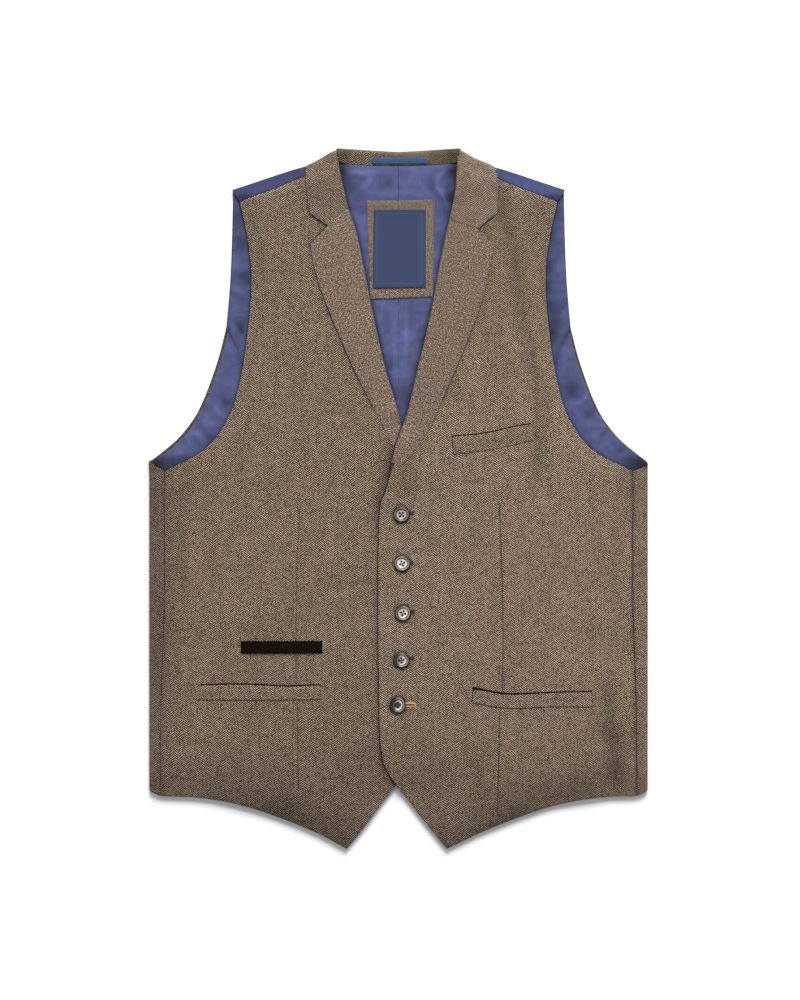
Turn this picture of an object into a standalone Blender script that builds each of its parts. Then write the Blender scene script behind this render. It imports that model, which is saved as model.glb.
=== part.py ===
"""A men's suit waistcoat of herringbone tweed with a satin back, laid flat on its back and buttoned.

Sizes are in millimetres until MM turns them into Blender's metres. X runs across the garment with the
wearer's left at +X, Y runs from the hem to the neck, and Z is up from the surface that it lies on. The
origin is in the middle of the outline, on that surface. Outlines are drawn once for the left half and
mirrored, apart from the front edges, lapels and collar, where one side laps over the other.
"""

import math

import bmesh
import bpy
import numpy as np
from mathutils import Vector, geometry

MM = 0.001

# Walls and gaps
TWEED = 2.0
SATIN = 1.2
LINING = 1.0
WELT = 1.4
LABEL = 1.0
GAP = 0.3  # between two layers, and at a seam

# The lying garment's outline
SIDE_FOLD_X = 249.0
NECK_POINT = (60.0, 350.4)
COLLAR_SHOULDER = (96.0, 333.4)  # where the collar's free edge crosses the shoulder
SHOULDER_NECK = (64.0, 337.5)
SHOULDER_TIP = (166.5, 308.5)

# Heights of each wall's middle surface where nothing lifts it
BACK_Z = SATIN / 2
SIDE_BACK_Z = TWEED / 2
LINING_Z = TWEED + GAP + LINING / 2
FRONT_Z = LINING_Z + LINING / 2 + GAP + TWEED / 2
LAYER = TWEED + GAP  # how much one more tweed wall underneath lifts a layer

# Where each fold starts, counted in from the outline: the radius of its middle surface and half its wall
SIDE_FOLD_IN = (FRONT_Z - SIDE_BACK_Z) / 2 + TWEED / 2
SHOULDER_FOLD_IN = (FRONT_Z - BACK_Z) / 2 + SATIN / 2
COLLAR_TOP_IN = (FRONT_Z - SIDE_BACK_Z) / 2 + TWEED / 2
COLLAR_SHOULDER_IN = (FRONT_Z + 2 * LAYER - SIDE_BACK_Z) / 2 + TWEED / 2
SEAM_ROOM = GAP / 2 + 0.03
LINING_ROOM = 1.2  # how far the lining stops inside the edges of the back
FOLD_STEPS = 5
GUIDE_ROOM = 4.0  # how far inside a panel's edge its guide points start
SAME_POINT = 0.8  # two outline points nearer than this are one
ROLL_STEPS = 3
ROLL_IN = TWEED / 2 + LAYER  # where a roll starts, counted in from the roll line
ROLL_ROOM = TWEED + 0.9  # how far a front stops inside the roll line
COLLAR_SPLIT_X = 59.8  # where the collar's side pieces and its back meet, under the back
LINING_HEM_ROOM = 8.0
LIFT_GUIDES = (3.0, 10.0, 18.0, 26.0)  # rows of points down the slope beside the collar's fall
LIFT_GUIDE_XS = (10.0, 32.0, 54.0, 70.0, 80.0, 90.0, 99.0, 108.0, 118.0, 128.0)
LAP_GUIDES = (1.6, 7.0, 12.5, 18.0)  # rows of points across the rise where the left front laps over the right
CORNER_LENGTH = 12.0  # along the shoulder, where the fold turns from the back's direction to the side's
ROLL_LIP = 0.9  # how far a rolled edge runs on downwards past its quarter turn

# Distances between points: on tight, middling and long curves, and inside three kinds of panel
TIGHT = 8.0
EDGE = 15.0
LONG = 30.0
FRONT_NET = 27.0
TURNED_NET = 22.0
BACK_NET = 42.0

# Places on the shared outlines, as (x, y) of the wearer's left half
FRONT_ARMHOLE = [
    (158.8, 297.0), (151.0, 260.0), (147.0, 222.0), (149.6, 176.0), (158.5, 117.0),
    (169.0, 83.0), (192.0, 50.5), (234.0, 27.0),
]
SIDE_SEAM = [(234.0, 27.0), (233.5, -100.0), (237.0, -200.0), (238.0, -297.7)]
FRONT_HEM = [(238.0, -297.7), (198.5, -299.5), (158.5, -306.5), (118.5, -319.5), (78.5, -336.0)]
SHOULDER_SEAM = [(158.8, 297.0), (124.0, 308.9), (97.0, 320.2), (64.0, 330.5)]
SHOULDER_FOLD = [SHOULDER_NECK, (98.0, 330.4), SHOULDER_TIP]
BACK_HEM = [(0.0, -284.0), (80.0, -288.0), (156.0, -296.0)]
BACK_ARMHOLE = [(172.5, 171.0), (168.5, 218.5), (166.8, 260.0), SHOULDER_TIP]
SIDE_BACK_HEM = [(156.0, -296.0), (205.0, -296.8), (236.0, -296.5), (SIDE_FOLD_X - SIDE_FOLD_IN, -293.5)]
SIDE_BACK_ARMHOLE = [
    (SIDE_FOLD_X - SIDE_FOLD_IN, 39.0), (222.5, 58.5), (206.0, 78.5), (195.5, 98.5), (181.0, 138.5),
    (172.5, 171.0),
]
SIDE_FOLD_TOP_WALL = (-295.0, 35.0)  # the lowest and highest point of the fold's upper side
SIDE_BACK_SEAM = [
    (156.0, -296.0), (146.0, -180.0), (139.0, 0.0), (142.0, 60.0), (156.0, 135.0), (172.5, 171.0),
]
NECK_SEAM = [(0.0, 332.2), (26.0, 332.8), (50.0, 334.4), SHOULDER_NECK]
COLLAR_TOP = [(0.0, 346.7), (26.0, 348.1), (44.0, 349.4), NECK_POINT]
COLLAR_BACK_EDGE = [(0.0, 304.5), (25.0, 305.5), (60.0, 311.5), (84.0, 323.0), COLLAR_SHOULDER]

# Each front's edge, from the point of the hem up to the roll line's lower end, then the roll line to the neck.
# The left front laps over the right one, whose own edge is hidden below the roll.
FRONT_EDGE = {
    "left": [
        (48.5, -350.5), (29.1, -327.0), (9.9, -302.5), (-1.5, -288.0), (-10.5, -273.5), (-15.0, -264.5),
        (-17.0, -253.5), (-19.0, -226.5), (-19.3, -21.5), (-17.5, -4.0), (-13.5, 5.1), (-9.9, 17.5),
    ],
    "right": [
        (52.0, -350.5), (34.7, -329.5), (16.9, -305.3), (4.8, -290.0), (-5.0, -277.0), (-12.0, -250.0),
        (-14.0, -226.0), (-14.0, -21.5), (-11.0, 10.0), (-7.0, 45.0), (-3.0, 73.0),
    ],
}
ROLL_LINE = {
    "left": [
        (-9.9, 17.5), (-7.2, 35.5), (-2.8, 53.5), (5.3, 75.5), (9.5, 89.0), (17.5, 123.5), (27.0, 162.5),
        (35.2, 201.5), (43.3, 246.5), (50.5, 278.0), (56.5, 307.5), (58.2, 333.5), NECK_POINT,
    ],
    "right": [
        (-3.0, 73.0), (4.1, 100.5), (9.5, 117.5), (15.5, 139.9), (28.9, 201.5), (42.2, 266.5),
        (50.0, 290.0), (55.5, 313.5), (59.5, 333.5), NECK_POINT,
    ],
}
LAPEL_EDGE = {
    "left": [
        (95.5, 252.0), (91.3, 229.7), (83.1, 195.0), (68.8, 156.5), (44.5, 99.1), (32.1, 70.1), (10.5, 40.5),
        (1.5, 30.0),
    ],
    "right": [
        (88.1, 253.0), (85.0, 233.8), (78.9, 211.5), (68.7, 184.8), (44.2, 127.7), (29.9, 99.1),
        (20.5, 80.1), (11.5, 63.1), (4.2, 51.5),
    ],
}
LAPEL_FOOT = {"left": [(1.5, 30.0), (-2.2, 33.0)], "right": [(4.2, 51.5), (0.8, 62.0), (-2.2, 73.0)]}
NOTCH = {"left": (79.0, 268.8), "right": (70.7, 272.2)}
GORGE = {"left": (50.5, 278.0), "right": (50.0, 290.0)}
COLLAR_CORNER = {"left": (98.5, 284.6), "right": (88.1, 283.8)}
COLLAR_OUTER = {
    "left": [(98.5, 284.6), (100.5, 288.5), (99.8, 319.0), COLLAR_SHOULDER],
    "right": [(88.1, 283.8), (89.1, 287.5), (91.0, 310.0), COLLAR_SHOULDER],
}

# The largest swellings of the fronts: place, half-length and half-width, turn of the long axis, and height
SWELLINGS = [
    {"side": "both", "x": 100.0, "y": 170.0, "long": 95.0, "wide": 34.0, "turn": 100.0, "rise": 2.6},
    {"side": "both", "x": 120.0, "y": -60.0, "long": 120.0, "wide": 60.0, "turn": 90.0, "rise": 2.2},
    {"side": "left", "x": 184.0, "y": -248.0, "long": 55.0, "wide": 18.0, "turn": 96.0, "rise": 2.2},
    {"side": "left", "x": 110.0, "y": -268.0, "long": 55.0, "wide": 22.0, "turn": 160.0, "rise": 1.6},
    {"side": "right", "x": 150.0, "y": -255.0, "long": 60.0, "wide": 22.0, "turn": 100.0, "rise": 1.8},
]

# Pocket welts, as their top and bottom edges, on the side that carries them
WELTS = {
    "welt_chest": {
        "side": "left",
        "top": [(53.9, 61.5), (84.5, 64.5), (112.5, 70.5), (131.5, 74.1)],
        "bottom": [(55.5, 44.0), (81.5, 47.0), (111.2, 52.7), (133.9, 58.0)],
    },
    "welt_lower_left": {
        "side": "left",
        "top": [(75.1, -189.9), (106.5, -195.5), (158.5, -193.8), (192.2, -193.2)],
        "bottom": [(74.0, -203.8), (106.5, -209.0), (160.5, -207.5), (193.8, -208.1)],
    },
    "welt_lower_right": {
        "side": "right",
        "top": [(78.1, -186.5), (113.5, -187.5), (152.5, -185.8), (196.5, -186.5)],
        "bottom": [(76.5, -200.5), (131.5, -201.2), (170.0, -201.0), (201.7, -201.0)],
    },
    "welt_ticket": {
        "side": "right",
        "top": [(75.9, -142.9), (116.0, -143.0), (157.4, -143.3)],
        "bottom": [(75.9, -154.4), (116.0, -154.5), (157.4, -154.7)],
    },
}

WELT_POINTS = 9  # along each edge of a welt

# Buttons down the front, top to bottom
BUTTON_PLACES = [(3.0, -16.0), (3.7, -64.8), (4.5, -114.3), (2.9, -161.2), (-0.7, -205.8)]
BUTTON_HOLE_R = 0.9
BUTTON_HOLE_OUT = 1.9  # from the button's middle to each hole's
BUTTON_PROFILE = [
    {"r": 0.0, "z": 1.9}, {"r": 4.6, "z": 1.9}, {"r": 5.6, "z": 3.1}, {"r": 7.0, "z": 3.3},
    {"r": 8.0, "z": 2.2}, {"r": 7.0, "z": 0.5}, {"r": 5.2, "z": 0.0}, {"r": 0.0, "z": 0.0},
]

# Pieces at the back of the neck, by the ends of their lower and upper edges
PATCH = {"low": [(-28.0, 199.4), (34.4, 201.8)], "high": [(-32.0, 297.5), (36.1, 298.5)]}
LABEL_CORNERS = {"low": [(-25.9, 210.4), (27.3, 211.0)], "high": [(-24.7, 288.5), (27.3, 289.0)]}
TAB = {"low": [(-26.5, 334.6), (29.0, 334.6)], "high": [(-26.5, 340.4), (29.0, 340.4)]}

TWEED_BROWN = (0.165, 0.125, 0.093, 1.0)
LAPEL_BROWN = (0.190, 0.142, 0.106, 1.0)
SATIN_BLUE = (0.080, 0.092, 0.200, 1.0)
LINING_BLUE = (0.110, 0.125, 0.270, 1.0)
VELVET_BLACK = (0.010, 0.006, 0.005, 1.0)
LABEL_NAVY = (0.055, 0.080, 0.145, 1.0)
TAB_BLUE = (0.060, 0.110, 0.210, 1.0)
HORN_BROWN = (0.060, 0.028, 0.014, 1.0)


# Curves in the plane

def smooth_curve(points, step):
    """Points about a step apart on a smooth curve through the given ones, its speed even along unlike gaps."""
    if len(points) == 2:
        points = [points[0], tuple((np.array(points[0]) + points[1]) / 2), points[1]]
    given = np.array(points, float)
    path = np.vstack([2 * given[0] - given[1], given, 2 * given[-1] - given[-2]])
    knots = np.concatenate([[0.0], np.cumsum(np.linalg.norm(np.diff(path, axis=0), axis=1) ** 0.5)])
    curve = []
    for i in range(1, len(path) - 2):
        count = max(1, round(float(np.linalg.norm(path[i + 1] - path[i])) / step))
        for t in np.linspace(knots[i], knots[i + 1], count, endpoint=False):
            curve.append(blend_of_four(path[i - 1:i + 3], knots[i - 1:i + 3], t))
    return np.array(curve + [given[-1]])


def blend_of_four(points, knots, t):
    """The point at knot t of the curve that runs from the second of four points to the third."""
    level = list(points)
    for width in (1, 2):
        level = [
            mix(level[i], level[i + 1], (t - knots[i]) / (knots[i + width] - knots[i]))
            for i in range(len(level) - 1)
        ]
    return mix(level[0], level[1], (t - knots[1]) / (knots[2] - knots[1]))


def mix(a, b, share):
    return a * (1 - share) + b * share


def even_points(curve, count):
    """The curve again, as this many points evenly spread along it."""
    runs = np.concatenate([[0.0], np.cumsum(np.linalg.norm(np.diff(curve, axis=0), axis=1))])
    places = np.linspace(0.0, runs[-1], count)
    return np.column_stack([np.interp(places, runs, curve[:, axis]) for axis in (0, 1)])


def cut(*edges):
    """The closed outline of a panel from (curve, room) pairs in order, each edge moved in by its room."""
    points = []
    rooms = []
    for curve, room in edges:
        for point in curve:
            if points and math.dist(point, points[-1]) < SAME_POINT:
                rooms[-1] = max(rooms[-1], room)
                continue
            points.append(tuple(point))
            rooms.append(room)
    if math.dist(points[0], points[-1]) < SAME_POINT:
        points.pop()
        rooms[0] = max(rooms[0], rooms.pop())
    outline = np.array(points)
    return outline - normals_of(outline) * np.array(rooms)[:, None]


def normals_of(outline):
    """The outward normal at each point of a closed outline, whichever way round it runs."""
    ahead = np.roll(outline, -1, axis=0) - outline
    behind = outline - np.roll(outline, 1, axis=0)
    along = ahead / np.linalg.norm(ahead, axis=1)[:, None] + behind / np.linalg.norm(behind, axis=1)[:, None]
    along /= np.maximum(np.linalg.norm(along, axis=1), 1e-9)[:, None]
    turned = 1.0 if signed_area(outline) > 0 else -1.0
    return np.column_stack([along[:, 1], -along[:, 0]]) * turned


def signed_area(outline):
    ahead = np.roll(outline, -1, axis=0)
    return 0.5 * float(np.sum(outline[:, 0] * ahead[:, 1] - ahead[:, 0] * outline[:, 1]))


def curve_normals(curve):
    """The normals of an open curve, to the right of the way that it runs."""
    along = np.gradient(curve, axis=0)
    along /= np.linalg.norm(along, axis=1)[:, None]
    return np.column_stack([along[:, 1], -along[:, 0]])


def inside(points, outline):
    """Which of the points lie inside the closed outline."""
    found = np.zeros(len(points), bool)
    ahead = np.roll(outline, -1, axis=0)
    for (x0, y0), (x1, y1) in zip(outline, ahead):
        if y0 == y1:
            continue
        crosses = (points[:, 1] < y0) != (points[:, 1] < y1)
        found ^= crosses & (points[:, 0] < x0 + (points[:, 1] - y0) * (x1 - x0) / (y1 - y0))
    return found


def nearest(points, others):
    """How far each point is from the nearest of the others."""
    return np.sqrt(((points[:, None, :] - others[None, :, :]) ** 2).sum(axis=2)).min(axis=1)


# Heights

def smooth_step(low, high, value):
    share = np.clip((np.asarray(value, float) - low) / (high - low), 0.0, 1.0)
    return share * share * (3 - 2 * share)


def lift(x, y):
    """How far the collar's fall, which lies under the back at the neck, raises the layers on it."""
    edge = np.array(COLLAR_BACK_EDGE)
    fall_edge = np.interp(np.abs(x), edge[:, 0], edge[:, 1])
    down = smooth_step(3.0, 26.0, fall_edge - np.asarray(y))
    beside = smooth_step(98.0, 128.0, np.abs(x))
    return LAYER * (1 - down) * (1 - beside)


def swelling(x, y, side):
    """How far the air and the seams inside a front push it up. x is counted from the middle line outwards."""
    rise = np.zeros(np.shape(x))
    for row in SWELLINGS:
        if row["side"] not in ("both", side):
            continue
        turn = math.radians(row["turn"])
        along = (x - row["x"]) * math.cos(turn) + (y - row["y"]) * math.sin(turn)
        across = (y - row["y"]) * math.cos(turn) - (x - row["x"]) * math.sin(turn)
        rise = rise + row["rise"] * np.exp(-((along / row["long"]) ** 2) - (across / row["wide"]) ** 2)
    return rise


def under_edge_x(y):
    """The x of the right front's hidden edge, which the left front laps over."""
    edge = np.array(FRONT_EDGE["right"] + ROLL_LINE["right"][1:])
    order = np.argsort(edge[:, 1])
    return -np.interp(y, edge[order, 1], edge[order, 0])


def front_z(x, y, side):
    """The middle surface of a front, at x counted outwards from the middle line."""
    x = np.asarray(x, float)
    y = np.asarray(y, float)
    height = FRONT_Z + lift(x, y) + swelling(x, y, side)
    if side == "left":
        lap = 1 - smooth_step(1.6, 18.0, x - under_edge_x(y))
        height = height + LAYER * lap
    return height


# Cloth from outlines and sections

def lattice(outline, step, guides):
    """Points inside an outline: those on the guide lines first, then a staggered lattice clear of them."""
    rows = np.arange(outline[:, 1].min(), outline[:, 1].max(), step * 0.866)
    spots = []
    for index, y in enumerate(rows):
        xs = np.arange(outline[:, 0].min() + (index % 2) * step / 2, outline[:, 0].max(), step)
        spots.extend((x, y) for x in xs)
    spots = np.array(spots)
    kept = [guide[inside(guide, outline) & (nearest(guide, outline) > GUIDE_ROOM)] for guide in guides]
    taken = np.vstack([outline, *kept])
    spots = spots[inside(spots, outline)]
    spots = spots[nearest(spots, taken) > step * 0.6]
    return np.vstack([*kept, spots])


def flat_panel(outline, step, guides=()):
    """Plane points and triangles of a cut panel. The outline's points come first, in order."""
    spots = lattice(outline, step, guides)
    points = [Vector(point) for point in np.vstack([outline, spots])]
    ring = [list(range(len(outline)))]
    found = geometry.delaunay_2d_cdt(points, [], ring, 1, 1e-5)
    return np.array([tuple(point) for point in found[0]]), [tuple(face) for face in found[2]]


def add_strip(points, faces, start, rows):
    """Quads from a run of existing points through further rows of points, each as long as the run."""
    last = list(start)
    for row in rows:
        new = list(range(len(points), len(points) + len(row)))
        points.extend(tuple(point) for point in row)
        for i in range(len(new) - 1):
            faces.append((last[i], last[i + 1], new[i + 1], new[i]))
        last = new


def run_of(outline, curve):
    """The indices of the outline's points that lie on a curve, in the curve's order."""
    return [int(np.argmin(((outline - point) ** 2).sum(axis=1))) for point in curve]


def fold_rows(start, end, outward, start_z, end_z):
    """Rows that turn a wall over in a half circle, from start at one height to end at another.

    outward is the way that the fold bulges. start and end are plane points, and the heights one for each.
    """
    radius = (end_z - start_z) / 2
    rows = []
    for angle in np.linspace(0.0, math.pi, FOLD_STEPS + 1)[1:]:
        flat = mix(start, end, angle / math.pi) + outward * (np.abs(radius) * math.sin(angle))[:, None]
        rows.append(np.column_stack([flat, start_z + radius * (1 - math.cos(angle))]))
    return rows


def ruled_rows(start, end, height, count):
    """Rows on straight lines from start to end, at the height that a function gives, after start itself."""
    rows = []
    for share in np.linspace(0.0, 1.0, count + 1)[1:]:
        flat = mix(start, end, share)
        rows.append(np.column_stack([flat, height(flat[:, 0], flat[:, 1])]))
    return rows


def roll_rows(edge, outward, start_z, drop):
    """Rows that turn a wall's edge down in a quarter circle, then a little further straight down."""
    rows = []
    for angle in np.linspace(0.0, math.pi / 2, ROLL_STEPS + 1)[1:]:
        flat = edge + outward * (drop * math.sin(angle))[:, None]
        rows.append(np.column_stack([flat, start_z - drop * (1 - math.cos(angle))]))
    rows.append(rows[-1] - np.array([0.0, 0.0, ROLL_LIP]))
    return rows


# Objects

def collection_for(name):
    collection = bpy.data.collections.new(name)
    bpy.context.scene.collection.children.link(collection)
    return collection


def material(name, colour, roughness):
    made = bpy.data.materials.new(name)
    made.use_nodes = True
    shader = made.node_tree.nodes["Principled BSDF"]
    shader.inputs["Base Color"].default_value = colour
    shader.inputs["Roughness"].default_value = roughness
    return made


def cloth(name, points, faces, thickness, finish, mirror=False):
    """A wall of cloth as its own object, from its middle surface. A mirrored one is for the wearer's right."""
    side = -1.0 if mirror else 1.0
    mesh = bpy.data.meshes.new(name)
    mesh.from_pydata([(x * side * MM, y * MM, z * MM) for x, y, z in points], [], faces)
    turned = bmesh.new()
    turned.from_mesh(mesh)
    bmesh.ops.recalc_face_normals(turned, faces=turned.faces)
    turned.to_mesh(mesh)
    turned.free()
    made = bpy.data.objects.new(name, mesh)
    GARMENT.objects.link(made)
    made.data.materials.append(finish)
    wall = made.modifiers.new("wall", "SOLIDIFY")
    wall.thickness = thickness * MM
    wall.offset = 0.0
    mesh.shade_smooth()
    mesh.set_sharp_from_angle(angle=math.radians(50))
    return made


def panel_object(name, outline, step, height, thickness, finish, guides=(), strips=(), mirror=False):
    """A cut panel laid at the height that a function gives, with strips that go on from runs of its edge."""
    plane, faces = flat_panel(outline, step, guides)
    points = [(x, y, z) for (x, y), z in zip(plane, height(plane[:, 0], plane[:, 1]))]
    for run, rows in strips:
        add_strip(points, faces, run, rows)
    return cloth(name, points, faces, thickness, finish, mirror)


# The garment's pieces

def front(side):
    """A front from the shoulder seam to the hem. Its upper edge stops inside the rolled lapel and collar."""
    roll = smooth_curve(ROLL_LINE[side][:-1], EDGE)
    room = ROLL_ROOM * smooth_step(0.0, 18.0, np.linalg.norm(roll - roll[0], axis=1))
    roll = roll + curve_normals(roll) * room[:, None]
    outline = cut(
        (smooth_curve(FRONT_ARMHOLE, EDGE), SEAM_ROOM), (smooth_curve(SIDE_SEAM, LONG), SEAM_ROOM),
        (smooth_curve(FRONT_HEM + FRONT_EDGE[side][:1], EDGE), SEAM_ROOM),
        (smooth_curve(FRONT_EDGE[side], EDGE), SEAM_ROOM), (roll, SEAM_ROOM),
        (smooth_curve(SHOULDER_SEAM, EDGE)[::-1], SEAM_ROOM),
    )
    guides = front_guides(side)
    panel_object(
        f"front_{side}", outline, FRONT_NET, lambda x, y: front_z(x, y, side), TWEED, TWEED_FINISH,
        guides=guides, mirror=side == "right",
    )


def front_guides(side):
    """Rows of points where a front, and what lies on it, bends: beside the collar, on a swelling, at the lap."""
    guides = lift_guides() + [ridge_lines(row) for row in SWELLINGS if row["side"] == side]
    if side == "left":
        ys = np.arange(-330.0, 100.0, 18.0)
        guides += [np.column_stack([under_edge_x(ys) + off, ys]) for off in LAP_GUIDES]
    return guides


def ridge_lines(row):
    """Points along a swelling's crest and its two flanks."""
    turn = math.radians(row["turn"])
    ahead = np.array([math.cos(turn), math.sin(turn)])
    aside = np.array([-ahead[1], ahead[0]])
    middle = np.array([row["x"], row["y"]])
    along = np.linspace(-1.3, 1.3, 6)[:, None] * row["long"] * ahead
    return np.vstack([middle + along + aside * row["wide"] * share for share in (-1.1, -0.55, 0.0, 0.55, 1.1)])


def turned_panel_z(side):
    """The middle surface of what is turned over onto a front: a lapel or the collar's fall."""
    return lambda x, y: front_z(x, y, side) + LAYER


def rolled_edge(outline, curve, side, drop):
    """The strip that turns a lapel or collar down at its roll line, from the run of the outline along it."""
    run = run_of(outline, curve)
    normals = normals_of(outline)[run]
    normals[0], normals[-1] = normals[1], normals[-2]
    edge = outline[run]
    return run, roll_rows(edge, normals, turned_panel_z(side)(edge[:, 0], edge[:, 1]), drop)


def lapel(side):
    """The lapel, turned over at the roll line from its foot to the gorge."""
    lower = ROLL_LINE[side][:ROLL_LINE[side].index(GORGE[side]) + 1]
    roll = smooth_curve(lower, EDGE)
    inner = roll + curve_normals(roll) * ROLL_IN
    inner = inner[inner[:, 1] > LAPEL_FOOT[side][-1][1] + SAME_POINT]
    outline = cut(
        (inner, 0.0), (smooth_curve([tuple(inner[-1]), NOTCH[side]], EDGE)[1:], SEAM_ROOM),
        (smooth_curve([NOTCH[side], LAPEL_EDGE[side][0]], EDGE), SEAM_ROOM),
        (smooth_curve(LAPEL_EDGE[side], EDGE), SEAM_ROOM), (LAPEL_FOOT[side], SEAM_ROOM),
    )
    drop = np.full(len(inner), LAYER)
    panel_object(
        f"lapel_{side}", outline, TURNED_NET, turned_panel_z(side), TWEED, LAPEL_FINISH, guides=front_guides(side),
        strips=[rolled_edge(outline, inner, side, drop)], mirror=side == "right",
    )


def collar_side(side):
    """The collar's fall from the gorge up over the shoulder, and down behind it under the back."""
    silhouette = smooth_curve([NECK_POINT, COLLAR_SHOULDER], TIGHT)
    outward = -curve_normals(silhouette)
    top_edge = silhouette - outward * COLLAR_SHOULDER_IN
    upper = ROLL_LINE[side][ROLL_LINE[side].index(GORGE[side]):]
    roll = smooth_curve(upper, TIGHT)
    fade = smooth_step(0.0, 20.0, NECK_POINT[1] - 6.0 - roll[:, 1])
    inner = roll + curve_normals(roll) * mix(TWEED / 2, ROLL_IN, fade)[:, None]
    kept = inner[:, 1] < NECK_POINT[1] - COLLAR_SHOULDER_IN - 1.5
    inner = inner[kept]
    corner = inner[-1] + SAME_POINT
    top_edge = np.vstack([corner, top_edge[top_edge[:, 0] > corner[0] + SAME_POINT]])
    outline = cut(
        (inner, 0.0), (top_edge, 0.0), (smooth_curve(COLLAR_OUTER[side], TIGHT)[::-1][1:], SEAM_ROOM),
        (smooth_curve([COLLAR_CORNER[side], NOTCH[side]], EDGE), SEAM_ROOM),
        (smooth_curve([NOTCH[side], tuple(inner[0])], EDGE)[:-1], SEAM_ROOM),
    )
    run = run_of(outline, top_edge)
    edge = outline[run]
    turning = smooth_step(0.0, CORNER_LENGTH, edge[:, 0] - edge[0, 0])[:, None]
    bulge = mix(np.array([0.0, 1.0]), outward[0], turning)
    top_z = turned_panel_z(side)(edge[:, 0], edge[:, 1])
    under_z = np.full(len(edge), SIDE_BACK_Z)
    under_edge = smooth_curve(COLLAR_BACK_EDGE, TIGHT / 2)
    under_edge = under_edge[under_edge[:, 0] > COLLAR_SPLIT_X]
    under_edge = even_points(under_edge, len(edge)) - np.array([0.0, 0.4])
    under_edge[:, 0] = np.maximum(under_edge[:, 0], COLLAR_SPLIT_X + GAP)
    below = ruled_rows(edge, under_edge, lambda x, y: np.full(len(x), SIDE_BACK_Z), 3)
    wrap = run, fold_rows(edge, edge, bulge, top_z, under_z) + below
    drop = LAYER * fade[kept]
    panel_object(
        f"collar_{side}", outline, TURNED_NET, turned_panel_z(side), TWEED, LAPEL_FINISH, guides=front_guides(side),
        strips=[rolled_edge(outline, inner, side, drop), wrap], mirror=side == "right",
    )


def collar_back():
    """The collar behind the neck: its fall lies under the back, its stand faces up, folded at the top edge."""
    columns = np.linspace(-COLLAR_SPLIT_X, COLLAR_SPLIT_X, 15)
    lines = []
    for curve in (COLLAR_BACK_EDGE, COLLAR_TOP, NECK_SEAM):
        fine = smooth_curve(curve, TIGHT / 2)
        lines.append(np.column_stack([columns, np.interp(np.abs(columns), fine[:, 0], fine[:, 1])]))
    fall_edge, top, seam = lines
    fold = top - np.array([0.0, COLLAR_TOP_IN])
    low = np.full(len(columns), SIDE_BACK_Z)
    high = np.full(len(columns), FRONT_Z)
    outward = np.tile(np.array([0.0, 1.0]), (len(columns), 1))
    rows = ruled_rows(fall_edge, fold, lambda x, y: low, 3)
    rows += fold_rows(fold, fold, outward, low, high)
    rows += ruled_rows(fold, seam + np.array([0.0, SEAM_ROOM]), lambda x, y: high, 2)
    points = [(x, y, SIDE_BACK_Z) for x, y in fall_edge]
    faces = []
    add_strip(points, faces, range(len(columns)), rows)
    cloth("collar_back", points, faces, TWEED, LAPEL_FINISH)


def back_z(x, y):
    return BACK_Z + lift(x, y)


def lining_z(x, y):
    return LINING_Z + lift(x, y)


def back(side):
    """A satin half of the back. It turns over the shoulder and is seamed to the front a little below."""
    shoulder = smooth_curve(SHOULDER_FOLD, EDGE)
    outward = -curve_normals(shoulder)
    edge = shoulder - outward * SHOULDER_FOLD_IN
    outline = cut(
        (smooth_curve(BACK_HEM, LONG), SEAM_ROOM), (smooth_curve(SIDE_BACK_SEAM, LONG), SEAM_ROOM),
        (smooth_curve(BACK_ARMHOLE[:-1] + [tuple(edge[-1])], LONG), SEAM_ROOM), (edge[::-1], 0.0),
        (smooth_curve(NECK_SEAM[:-1] + [tuple(edge[0])], EDGE)[::-1][1:], SEAM_ROOM),
        (centre_seam(BACK_HEM[0][1]), SEAM_ROOM),
    )
    run = run_of(outline, edge)
    edge = outline[run]
    seam = even_points(smooth_curve(SHOULDER_SEAM, TIGHT)[::-1], len(edge))
    seam = seam - curve_normals(seam) * SEAM_ROOM
    top = front_z(edge[:, 0], edge[:, 1], "right")
    rows = fold_rows(edge, edge, outward, back_z(edge[:, 0], edge[:, 1]), top)
    rows += ruled_rows(edge, seam, lambda x, y: front_z(x, y, "right"), 2)
    panel_object(
        f"back_{side}", outline, BACK_NET, back_z, SATIN, SATIN_FINISH,
        guides=lift_guides(), strips=[(run, rows)], mirror=side == "right",
    )


def centre_seam(low):
    """The back's centre seam from the neck down, with points where it slopes off the collar's fall."""
    fall_edge = COLLAR_BACK_EDGE[0][1]
    ys = [NECK_SEAM[0][1], fall_edge, *(fall_edge - down for down in LIFT_GUIDES)]
    ys += list(np.linspace(ys[-1], low, 9)[1:])
    return np.array([(0.0, y) for y in ys])


def lift_guides():
    """Points in rows beside the collar's fall, where the layers on it slope down."""
    xs = np.array(LIFT_GUIDE_XS)
    edge = np.array(COLLAR_BACK_EDGE)
    fall_edge = np.interp(xs, edge[:, 0], edge[:, 1])
    return [np.column_stack([xs, fall_edge - down]) for down in LIFT_GUIDES]


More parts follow.
